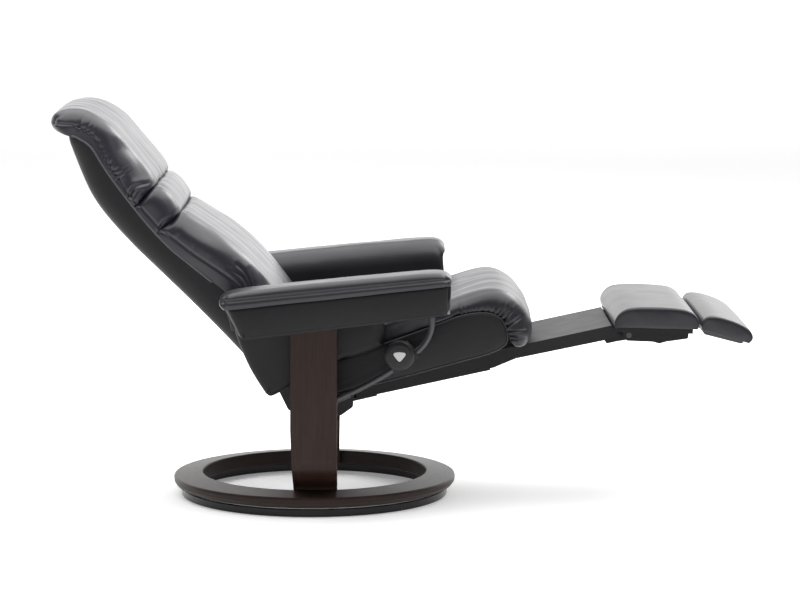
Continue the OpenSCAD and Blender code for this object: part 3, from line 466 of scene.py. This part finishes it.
# %% Node helpers
class Wire:
    def __init__(self, tree, socket):
        self.tree, self.socket = tree, socket

    def maths(self, operation, *values):
        node = self.tree.nodes.new("ShaderNodeMath")
        node.operation = operation
        for slot, value in zip(node.inputs, values):
            if isinstance(value, Wire):
                self.tree.links.new(value.socket, slot)
            else:
                slot.default_value = value
        return Wire(self.tree, node.outputs[0])

    def __add__(self, other):
        return self.maths("ADD", self, other)

    def __radd__(self, other):
        return self.maths("ADD", other, self)

    def __sub__(self, other):
        return self.maths("SUBTRACT", self, other)

    def __rsub__(self, other):
        return self.maths("SUBTRACT", other, self)

    def __mul__(self, other):
        return self.maths("MULTIPLY", self, other)

    def __rmul__(self, other):
        return self.maths("MULTIPLY", other, self)


class Finish:
    """One material: node() adds any node, and shine() sets the constants of its shader."""

    def __init__(self, name):
        self.material = bpy.data.materials.new(name)
        self.material.use_nodes = True
        self.tree = self.material.node_tree
        self.shader = self.tree.nodes["Principled BSDF"]

    def node(self, kind, settings=None, out=0, **inputs):
        node = self.tree.nodes.new("ShaderNode" + kind)
        for key, value in (settings or {}).items():
            setattr(node, key, value)
        for key, value in inputs.items():
            slot = node.inputs[int(key[1:])] if key[0] == "i" and key[1:].isdigit() else node.inputs[key]
            if isinstance(value, Wire):
                self.tree.links.new(value.socket, slot)
            else:
                slot.default_value = value
        return Wire(self.tree, node.outputs[out])

    def shine(self, **constants):
        for key, value in constants.items():
            self.shader.inputs[key.replace("_", " ")].default_value = value

    def feed(self, slot, wire):
        self.tree.links.new(wire.socket, self.shader.inputs[slot])

    def here(self, scale=(1, 1, 1), turn=(0, 0, 0)):
        where = self.node("TexCoord", out=3)
        return self.node("Mapping", Vector=where, Rotation=turn, Scale=scale)

    def cloud(self, where, scale, detail=3.0, rough=0.55):
        return self.node("TexNoise", Vector=where, Scale=scale, Detail=detail, Roughness=rough)

    def between(self, mask, low, high):
        return self.node("Mix", {"data_type": "RGBA"}, out=2, Factor=mask, i6=(*low, 1), i7=(*high, 1))

    def bump(self, height, strength, distance, under=None):
        more = {"Normal": under} if under else {}
        return self.node("Bump", Height=height, Strength=strength, Distance=distance, **more)


def leather(name, low, high, rough, coat, grain=1.0, gloss=0.45):
    """Smooth corrected leather: fine pebbles, soft creases and patches of more or less gloss."""
    f = Finish(name)
    where = f.here()
    patch = f.cloud(where, 7, 4)
    f.feed("Base Color", f.between(patch, low, high))
    f.feed("Roughness", rough - 0.05 + 0.12 * f.cloud(where, 16, 3))
    pebble = f.node("TexVoronoi", {"feature": "SMOOTH_F1"}, Vector=where, Scale=620)
    crease = f.cloud(f.here((1, 1.6, 1)), 42, 5, 0.6)
    first = f.bump(crease, 0.30 * grain, 0.0016)
    f.feed("Normal", f.bump(1 - pebble, 0.22 * grain, 0.0004, first))
    f.shine(Specular_IOR_Level=gloss, Coat_Weight=coat, Coat_Roughness=0.32, IOR=1.5)
    return f.material


def plastic(name, low, high, rough, bump=0.12, scale=500):
    f = Finish(name)
    where = f.here()
    f.feed("Base Color", f.between(f.cloud(where, 9), low, high))
    f.feed("Roughness", rough - 0.04 + 0.1 * f.cloud(where, 30))
    f.feed("Normal", f.bump(f.cloud(where, scale, 2), bump, 0.0004))
    f.shine(Specular_IOR_Level=0.3)
    return f.material


def metal(name, low, high, rough, stretch=(1, 1, 1), scale=300, bump=0.08, metallic=1.0):
    f = Finish(name)
    where = f.here(stretch)
    line = f.cloud(where, scale, 3)
    f.feed("Base Color", f.between(line, low, high))
    f.feed("Roughness", rough - 0.06 + 0.14 * f.cloud(f.here(), 25))
    f.feed("Normal", f.bump(line, bump, 0.0003))
    f.shine(Metallic=metallic)
    return f.material


def stained_wood(name, low, high, where_of, rough=0.42):
    """Dark stained beech: long pores, a slow change of tone and a satin lacquer."""
    f = Finish(name)
    where = where_of(f)
    tone = f.cloud(where, 5, 5, 0.6)
    pore = f.cloud(where, 26, 6, 0.75)
    mask = (pore * 1.5 - 0.35) * 0.6 + tone * 0.4
    f.feed("Base Color", f.between(mask, low, high))
    f.feed("Roughness", rough - 0.05 + 0.14 * pore)
    f.feed("Normal", f.bump(pore, 0.18, 0.0006))
    f.shine(Coat_Weight=0.05, Coat_Roughness=0.3, Specular_IOR_Level=0.18)
    return f.material


# %% [markdown]
# The chair needs several kinds of leather: the soft hide of the back, more matt ones on arms, seat and
# foot pads, and a flat one on shell, wings, panels and arm boxes, which is stretched over board, shines
# less and is painted darker, as painted shade on these side faces. The piping on the shell is painted
# lighter than the hide, a painted highlight on the thin cord. The posts and the ring are beech under a
# dark stain, and the tray of the footrest is powder-coated steel.

# %% Finishes of this chair
hide = leather("soft_black_leather", (0.0095, 0.0088, 0.014), (0.020, 0.0185, 0.028), 0.37, 0.25)
hide_arm = leather("satin_black_leather", (0.009, 0.0084, 0.0125), (0.018, 0.0167, 0.0235),
                   0.43, 0.2, 0.9, 0.42)
hide_low = leather("matt_black_leather", (0.007, 0.0067, 0.010), (0.014, 0.0132, 0.0185),
                   0.39, 0.15, 1.0, 0.38)
# Painted shade: this copy of the black leather is darker than the hide because it goes on side faces that get
# little light; it also shines less.
side_hide_painted_shade = leather("flat_black_leather_painted_shade", (0.007, 0.007, 0.008), (0.012, 0.012, 0.0135),
                    0.48, 0.03, 0.8, 0.24)
# Painted highlight: the piping leather is much lighter than the hide, so the thin cord reads as lit along its
# length.
pipe_hide_painted_highlight = leather("piping_leather_painted_highlight", (0.050, 0.050, 0.056), (0.075, 0.075, 0.084), 0.42, 0.1, 0.5)
black = plastic("moulded_black", (0.012, 0.012, 0.013), (0.022, 0.022, 0.024), 0.48)
gloss = plastic("glossy_black", (0.008, 0.008, 0.009), (0.014, 0.014, 0.015), 0.2, 0.04)
grey = plastic("grey_plastic", (0.50, 0.50, 0.50), (0.62, 0.62, 0.62), 0.5)
coated = metal("coated_steel", (0.050, 0.050, 0.053), (0.080, 0.080, 0.084), 0.36, metallic=0.6)
zinc = metal("zinc_steel", (0.45, 0.45, 0.46), (0.62, 0.62, 0.64), 0.34)
tray = metal("tray_steel", (0.010, 0.010, 0.011), (0.017, 0.017, 0.018), 0.5, metallic=0.0)
tray_shader = tray.node_tree.nodes["Principled BSDF"]
tray_shader.inputs["Specular IOR Level"].default_value = 0.19
silver = metal("satin_silver", (0.36, 0.36, 0.37), (0.56, 0.56, 0.57), 0.36, (1, 1, 6), 180)
upright = stained_wood("post_wood", (0.010, 0.0048, 0.0036), (0.046, 0.024, 0.018),
                       lambda f: f.here((4, 4, 0.35)))


def round_grain(f):
    """Grain that runs round the ring: along is the angle, across is the radius."""
    spot = f.node("SeparateXYZ", Vector=f.here())
    x, y = spot, Wire(f.tree, spot.socket.node.outputs[1])
    z = Wire(f.tree, spot.socket.node.outputs[2])
    angle = x.maths("ARCTAN2", y, x) * 0.35
    radius = x.maths("SQRT", x * x + y * y) * 4
    return f.node("CombineXYZ", X=angle, Y=radius, Z=z * 4)


ring_wood = stained_wood("ring_wood", (0.010, 0.006, 0.0052), (0.036, 0.0195, 0.0150), round_grain, 0.42)
ply = stained_wood("plywood", (0.42, 0.30, 0.18), (0.62, 0.48, 0.31), lambda f: f.here((0.4, 4, 4)), 0.6)


# %% [markdown]
# The CAD nodes that keep their shape get their finish by name, in place of the flat colour that they
# came with.

# %% Dress the CAD nodes
# The CAD leather slots take the darker side leather, whose colour holds painted shade.
by_slot = {"dark_wood": upright, "black_plastic": black, "black_gloss": gloss, "pad_plastic": grey,
           "dark_steel": coated, "bright_steel": zinc, "silver": silver, "ply": ply, "leather": side_hide_painted_shade,
           "stuffed_leather": side_hide_painted_shade}
slots = {row["node"]: row["material_slot"] for row in frame["record"]["subparts"]}


def dress(piece, material):
    piece.data.materials.clear()
    piece.data.materials.append(material)


for name, node in nodes.items():
    dress(node, by_slot[slots[name]])
dress(nodes["base_ring"], ring_wood)
for name in ("leg_carrier", "leg_sleeve", "foot_mechanism"):
    dress(nodes[name], tray)
print("finishes:", len(bpy.data.materials), "on", len(nodes), "nodes")

# %% [markdown]
# ## The back
# Three stuffed cushions lie on one shell. Long soft pleats run down them, because the leather is
# gathered at each cross seam. The pleats are pressed in after the filling.

# %% Pleats
def pleats(spots, depth, width, seed, fade=0.12):
    """Valleys along the piece at chosen places across, each wandering a little."""
    def shape(m):
        across, along = m["across"], m["along"]
        total = np.zeros_like(across)
        front = np.clip((m["high"] / m["tall"] - 0.72) / 0.2, 0, 1)
        for n, spot in enumerate(spots):
            line = spot + 9 * wander(along * 2.0, seed + n)
            strong = 0.45 + 0.55 * wander(along * 2.6 + 9, seed + 20 + n)
            total += np.exp(-((across - line) / (width * (0.8 + 0.1 * (n % 4)))) ** 2) * strong
        ends = np.minimum(along, 1 - along)
        return -depth * total * front * (0.5 + 1.1 * np.exp(-(ends / fade) ** 2))
    return shape


def uneven(depth, size, seed):
    """Broad soft unevenness over the front and the sides."""
    def shape(m):
        return depth * wander2(m["s"] / (2.2 * size), m["y"] / size + m["n"] / (1.5 * size), seed)
    return shape


# %% Back cushions
back_front = outline(back_line([(-20, 12), (-22, 34), (-14, 54), (10, 65), (60, 71), (110, 74), (160, 73),
                                (210, 66), (260, 55), (290, 48), (312, 43), (321, 36), (324, 14),
                                (324, -18)]))
back_rest = np.array(back_line([(-12, 0), (60, -9), (128, -16), (180, -23), (232, -30), (283, -36),
                                (321, -37)]))
lumbar_front = outline(back_line([(320, -18), (320, 14), (321.5, 34), (327, 42), (344, 46), (366, 49.5),
                                  (386, 47.5), (398, 43), (403, 34), (404, 14), (404, -14)]))
lumbar_rest = np.array(back_line([(322, -36), (344, -37), (402, -33)]))
head_front = outline(back_line([(401, -12), (400.5, 12), (401, 32), (406, 42), (420, 46), (437, 48),
                                (470, 50), (520, 54), (560, 56), (592, 51), (620, 42), (644, 26),
                                (660, 6), (667, -16), (661, -33), (646, -39), (628, -33), (617, -21)]))
head_rest = np.array(back_line([(403, -31), (480, -23), (520, -16), (562, -8), (596, -15), (604, -17)]))
head_seam = back_line([(654, -26), (637, -9), (626, 1), (606, 12), (586, 18), (568, 18), (539, 9), (503, -1),
                       (468, -8), (424, -14), (404, -14)])
lumbar_seam = back_line([(402, -13), (382, -14), (349, -15), (322, -16)])
back_seam = back_line([(322, -15), (310, -12), (248, -2), (204, 7), (161, 17), (124, 22), (70, 20), (0, 24)])

BACK_EDGE = ((0, 0.12, 0.88, 1), (32, 44, 44, 32))
BACK_HALF = 244
back_cushion = lattice("back_cushion_cover", BACK, back_rest, back_front, BACK_HALF, BACK_EDGE,
                       (44, 44, 10), 6, 2)
lumbar_cushion = lattice("lumbar_cushion_cover", BACK, lumbar_rest, lumbar_front, BACK_HALF + 0.5,
                         BACK_EDGE, (44, 18, 10), 5, 1.5)
head_cushion = lattice("head_cushion_cover", BACK, head_rest, head_front, BACK_HALF - 0.5, BACK_EDGE,
                       (44, 44, 10), 6, 2.5)
for piece, cap in ((back_cushion, 3), (lumbar_cushion, 2), (head_cushion, 3)):
    fill(piece, cap)
    modify(piece, "SUBSURF", levels=2, render_levels=2)
press(head_cushion, BACK, pleats((-186, -141, -103, -84, -38, 3, 58, 79, 133, 171), 2.6, 13, 13),
      uneven(1.3, 44, 2), seam(head_seam, 3.2, 2.6), gathers(head_seam[2:9], 1, 14, 3.6, 20, 2.0),
      gathers(head_seam[2:9], -1, 14, 2.0, 7, 2.0),
      fold(back_line([(424, -15), (430, -4), (431, 9), (426, 21), (417, 33)]), 5.0, 4.5, 1.5),
      fold(back_line([(417, -11), (421, 6), (416, 19), (410, 28)]), 2.5, 3.0, 1.0),
      fold(back_line([(655, -27), (659, -16), (656, -2)]), 2.5, 3.5, 0.8),
      fold(back_line([(655, -30), (663, -24), (662, -12)]), 2.0, 3.0))
press(lumbar_cushion, BACK, pleats((-183, -122, -104, -55, -20, 37, 66, 118, 172), 2.4, 12, 8),
      uneven(1.0, 40, 6), seam(lumbar_seam, 2.4, 2.6),
      fold(back_line([(328, -14), (332, 0), (329, 16)]), 2.0, 4.0, 0.8))
press(back_cushion, BACK, pleats((-190, -158, -112, -91, -44, -6, 30, 88, 109, 166), 2.8, 14, 3),
      uneven(1.3, 48, 9), seam(back_seam, 2.6, 2.8), gathers(back_seam[1:5], 1, 34, 0.8, 20, 5.0),
      fold(back_line([(90, 40), (112, 49), (132, 53), (153, 52)]), 4.5, 4.0, 1.6),
      fold(back_line([(92, 34), (120, 42), (142, 40), (162, 33)]), 3.6, 4.0, 1.4),
      fold(back_line([(86, 46), (110, 58), (128, 64)]), 3.0, 4.0, 1.0))
for piece, body, node in ((back_cushion, "back_unit", "back_cushion"),
                          (lumbar_cushion, "back_unit", "lumbar_cushion"),
                          (head_cushion, "head_unit", "head_cushion")):
    smooth(piece)
    finish(piece, body, node, hide)
    tell(piece)

# %% [markdown]
# The cushions lie in a shell that is upholstered in one piece of leather, with piping along its
# front seam. A padded wing on each side closes the gap between the seat and the arm.

# %% Back shell and wings
rear = outline(back_line([(-66, -72), (-40, -84), (0, -77), (136, -78), (264, -83), (340, -86), (423, -84),
                          (484, -75), (547, -53), (598, -30), (612, -20)]))
seam_line = outline(back_line([(-70, -20), (-48, 4), (0, 4), (60, -3), (128, -10), (180, -17), (232, -24),
                               (283, -30), (344, -30), (412, -25), (480, -17), (520, -10), (562, -2),
                               (596, -9), (608, -16)]))
SHELL_HALF = 247
WING_OUT = 278.5
SHELL_EDGE = ((0, 1), (34, 34))
shell = lattice("back_shell_cover", BACK, seam_line, rear, SHELL_HALF, SHELL_EDGE, (60, 80, 8), 3, 0)
smooth(shell, 50)
finish(shell, "back_unit", "back_shell", side_hide_painted_shade)
WING = back_line([(-96, -96), (-58, -89), (-20, -79), (34, -58), (78, -36), (118, -16), (114, -2),
                  (80, 18), (0, 62), (-66, 130), (-140, 206), (-158, 206), (-192, 172), (-194, 158),
                  (-172, 106), (-153, 73), (-133, -5), (-116, -70), (-108, -92)])
seen_seam = seam_line[28:]
for side, mark in ((-1, "right"), (1, "left")):
    wing = panel("back_wing_cover_" + mark, BACK, WING, side * SHELL_HALF, side * WING_OUT, 12, 0.5)
    finish(wing, "back_unit", "back_wing_" + mark, side_hide_painted_shade)
    spots = to_world(BACK, seen_seam, np.full(len(seen_seam), side * (SHELL_HALF - 0.5)))
    # The shell piping takes the piping leather with its painted highlight.
    tell(wing, piping("shell_piping_" + mark, spots, "back_unit", 2.4))
tell(shell)

# %% [markdown]
# ## The seat
# The seat cushion rolls over the front edge and down to the sleeve, and the leather is gathered
# round that roll. Its rear runs on under the back cushion, so that no light falls through between the
# two when the back stands up.

# %% Seat cushion
SIDE = [(-12, 22), (-12, -34), (-4, -42), (140, -45), (330, -43), (392, -42), (424, -36), (438, -26),
        (444, -2), (439, 24), (422, 41), (396, 51), (352, 55), (296, 49), (180, 37), (60, 29)]
seat_front = outline([(-84, 37), (-79, 52), (-62, 64), (-12, 75), (80, 80), (180, 79), (280, 82), (350, 88),
                      (408, 91), (440, 87), (464, 75), (483, 54), (495, 26), (498, -6), (491, -34),
                      (475, -48), (457, -49), (447, -38)])
seat_rest = np.array([(-88, 13), (120, 13), (240, 13), (360, 13), (440, 13), (445, 5), (446, -26)])
side_top = outline(SIDE[5:] + SIDE[:1], 4)
PANEL_IN, PANEL_OUT = 226, 259
SEAT_HALF = PANEL_IN + 3
SWELL = 29


def over_the_panel(flat):
    """Half the cushion's width: between the side panels it is slim, and it swells above its front part."""
    gap, run, hand, size = near(side_top, flat[:, 0], flat[:, 1])
    out = np.where(hand < 0, gap, -gap)
    above = np.clip((out + 6) / 7, 0, 1)
    ahead = np.clip((flat[:, 0] - 210) / 80, 0, 1)
    return SEAT_HALF + SWELL * above * ahead


SEAT_EDGE = ((0, 0.28, 0.395, 1), (10, 10, 46, 46))
seat_cushion = lattice("seat_cushion_cover", SEAT, seat_rest, seat_front, over_the_panel, SEAT_EDGE,
                       (36, 56, 11), 8, 1, close=(0.52, 2.6))
fill(seat_cushion, 3)
modify(seat_cushion, "SUBSURF", levels=2, render_levels=2)
roll_seam = SIDE[6:13]
press(seat_cushion, SEAT, pleats((-188, -136, -111, -60, -14, 43, 71, 130, 171), 1.4, 13, 31),
      uneven(1.2, 45, 4), gathers(roll_seam, -1, 10.5, 6.5, 25, 3.0),
      gathers(SIDE[12:15], -1, 30, 0.8, 16, 1.0))
smooth(seat_cushion)
finish(seat_cushion, "seat_unit", "seat_cushion", hide_low)
tell(seat_cushion)

# %% [markdown]
# On each side a padded board closes the seat. It is drawn once as an outline, and the piping is sewn
# into its outer edge all the way round.

# %% Side panels of the seat
for side, mark in ((-1, "right"), (1, "left")):
    board = panel("side_panel_cover_" + mark, SEAT, SIDE, side * PANEL_IN, side * PANEL_OUT, 7, 1.0)
    finish(board, "seat_unit", "side_panel_" + mark, side_hide_painted_shade)
    edge_line = outline(SIDE + SIDE[:1])[:-1]
    spots = to_world(SEAT, edge_line, np.full(len(edge_line), side * (PANEL_OUT - 3.0)))
    cord = piping("seat_piping_" + mark, spots, "seat_unit", 1.5, True, hide)
    tell(board, cord)

# %% [markdown]
# ## The foot pads
# Two flat pads with square cut ends. Their edges are only just rounded, which gives the clear line
# between the pale top and the dark end that the photograph shows.

# %% Foot pads
pad_front = outline([(-2, 2), (-3, 14), (1, 24), (8, 33), (20, 40), (36, 44), (59, 46), (98, 46.5), (137, 45),
                     (160, 41.5), (176, 33), (185, 20), (186, 9), (183, 3)])
flap_front = outline([(2, 2), (-1, 9), (-1, 19), (3, 28), (14, 34), (33, 38), (58, 38.5), (83, 36), (103, 30),
                      (115, 21), (119, 12), (113, 2)])
PAD_HALF = 227
PAD_EDGE = ((0, 1), (5.5, 5.5))
foot_pad = lattice("foot_pad_cover", PAD, [(-1, 0.3), (183, 0.3)], pad_front, PAD_HALF, PAD_EDGE,
                   (84, 44, 8), 2, 1)
foot_flap = lattice("foot_flap_cover", FLAP, [(4, 0.3), (112, 0.3)], flap_front, PAD_HALF, PAD_EDGE,
                    (84, 30, 8), 2, 1)
for piece, body, node in ((foot_pad, "foot_unit", "foot_pad"), (foot_flap, "flap_unit", "foot_flap")):
    fill(piece, 1)
    modify(piece, "SUBSURF", levels=1, render_levels=1)
    smooth(piece)
    finish(piece, body, node, hide_low)
    tell(piece)

# %% [markdown]
# ## The arms
# Each arm is a leather box with a fuller pad on top. The pad's leather hangs down over the inner side,
# so only the outer side shows the seam between the two.

# %% Arms
box_low = outline([(-161, 16), (-156, 3), (-146, -4), (-132, -5), (60, -2), (286, 2), (297, 5), (304, 14)], 8)
box_top = [(-180, 66), (311, 66)]
pad_low = [(-184, 64), (313, 64)]
pad_line = outline([(-186, 66), (-191, 76), (-187, 88), (-168, 96.5), (-122, 100), (18, 100), (176, 98),
                    (268, 95.5), (299, 91), (312, 82), (315, 74), (313, 66)])
ARM_MIDDLE = 340.0
BOX_HALF, TOP_HALF = 55, 59.5
CORNER, OVERHANG = 20, 60
WELT_OUT, END_WELT_OUT = 395.6, 384.0
for side, mark in ((-1, "right"), (1, "left")):
    box = lattice("arm_box_cover_" + mark, ARM, box_low, box_top, BOX_HALF, ((0, 1), (4, 4)),
                  (28, 90, 14), 0, 2.5, side * ARM_MIDDLE, ends=CORNER)
    smooth(box)
    finish(box, "turning_base", "arm_boxing_" + mark, side_hide_painted_shade)
    pad = lattice("arm_pad_cover_" + mark, ARM, pad_low, pad_line, TOP_HALF, ((0, 1), (16, 16)),
                  (36, 96, 14), 2, 0, side * (ARM_MIDDLE - 1.5), ends=CORNER, skirt=-side * OVERHANG)
    modify(pad, "SUBSURF", levels=1, render_levels=1)
    outer_side = (lambda m, side=side: np.clip(m["normals"][:, 1] * side * 2, 0, 1))
    groove, swell = seam([(-192, 83), (316, 80)], 3.0, 3.0), seam([(-192, 73), (316, 72)], -1.2, 5.0)
    press(pad, ARM, lambda m: (groove(m) + swell(m)) * outer_side(m), uneven(0.6, 40, 12))
    smooth(pad)
    finish(pad, "turning_base", "arm_pad_" + mark, hide_arm)
    low_line = outline([(-146, 1), (60, 3), (286, 7)], 16)
    spots = to_world(ARM, low_line, np.full(len(low_line), side * WELT_OUT))
    piping("arm_welt_" + mark, spots, "turning_base", 1.1, material=side_hide_painted_shade)
    end_line = outline([(303, 24), (306.5, 36), (309, 50), (310.5, 62), (309, 72)], 6)
    sunk = END_WELT_OUT - 5 * np.abs(np.linspace(-1, 1, len(end_line))) ** 4
    spots = to_world(ARM, end_line, side * sunk)
    piping("arm_end_welt_" + mark, spots, "turning_base", 1.8, material=hide)
    tell(box, pad)

# %% [markdown]
# ## Floor, light and camera
# A plain pale floor under a large soft sky, as in a studio for furniture. The camera stands low and
# far away, square to the chair's right side.

# %% Floor
bpy.ops.object.select_all(action="DESELECT")
bpy.ops.mesh.primitive_plane_add(size=160, location=(0, 40, 0))
floor = bpy.context.object
floor.name = "floor"
paper = Finish("pale_floor")
pale = paper.cloud(paper.here(), 0.6)
paper.feed("Base Color", paper.between(pale, (0.92, 0.92, 0.92), (0.94, 0.94, 0.94)))
lit = paper.cloud(paper.here(), 0.5)
paper.feed("Emission Color", paper.between(lit, (0.98, 0.98, 0.98), (1, 1, 1)))
paper.shine(Roughness=0.9, Specular_IOR_Level=0.1, Emission_Strength=0.22)
dress(floor, paper.material)
tell(floor)

# %% [markdown]
# Near-black leather shows its shape by reflections alone. A wide ceiling lights all that faces up, one
# smaller lamp beyond the footrest gives rounded edges their sheen, and a lit wall behind the chair is
# what the fronts of the cushions mirror at a low angle.

# %% Light
world = bpy.context.scene.world or bpy.data.worlds.new("sky")
bpy.context.scene.world = world
world.use_nodes = True
world.node_tree.nodes["Background"].inputs["Color"].default_value = (1, 1, 1, 1)
world.node_tree.nodes["Background"].inputs["Strength"].default_value = 0.25


def softbox(name, place, aim, size, brightness):
    """A flat lamp of the given size whose face has the given brightness."""
    data = bpy.data.lights.new(name, "AREA")
    data.shape, data.size, data.size_y = "RECTANGLE", size[0], size[1]
    data.energy = brightness * math.pi * size[0] * size[1]
    lamp = bpy.data.objects.new(name, data)
    bpy.context.scene.collection.objects.link(lamp)
    lamp.location = place
    lamp.rotation_euler = (Vector(aim) - Vector(place)).to_track_quat("-Z", "Y").to_euler()
    return lamp


softbox("ceiling", (0.3, 0.5, 4.6), (0.3, 0.5, 0), (9, 7), 3.0)
softbox("side_glow", (3.6, 4.2, 3.9), (-0.3, 0, 0.8), (3.0, 2.0), 8.0)
bpy.ops.object.select_all(action="DESELECT")
bpy.ops.mesh.primitive_plane_add(size=1, location=(0, 16, 5.1), rotation=(math.radians(90), 0, 0))
wall = bpy.context.object
wall.name = "lit_wall"
wall.scale = (64, 10.4, 1)
bpy.ops.object.transform_apply(location=True, rotation=True, scale=True)
glow = Finish("lit_wall_white")
glow.feed("Base Color", glow.between(glow.cloud(glow.here(), 0.4), (0.18, 0.18, 0.18), (0.2, 0.2, 0.2)))
glow.feed("Emission Color", glow.between(glow.cloud(glow.here(), 0.3), (0.97, 0.97, 0.97), (1, 1, 1)))
glow.shine(Roughness=0.9, Emission_Strength=1.9)
dress(wall, glow.material)
tell(wall)

# %% [markdown]
# The photograph was taken from far away with a long lens, so the ring is a flat ellipse and both arms
# have nearly the same length.

# %% Camera
LENS = 139.5
EYE = (0.134, -7.040, 1.326)
DOWN, ASIDE = 7.13, 0.51
camera_data = bpy.data.cameras.new("camera")
camera_data.lens = LENS
camera_data.sensor_width = 36
camera = bpy.data.objects.new("camera", camera_data)
bpy.context.scene.collection.objects.link(camera)
camera.location = EYE
camera.rotation_euler = (math.radians(90 - DOWN), 0, math.radians(-ASIDE))
bpy.context.scene.camera = camera
bpy.context.scene.view_settings.view_transform = "Standard"
print("lens:", LENS, "mm, seen from", [round(v, 2) for v in camera.location])
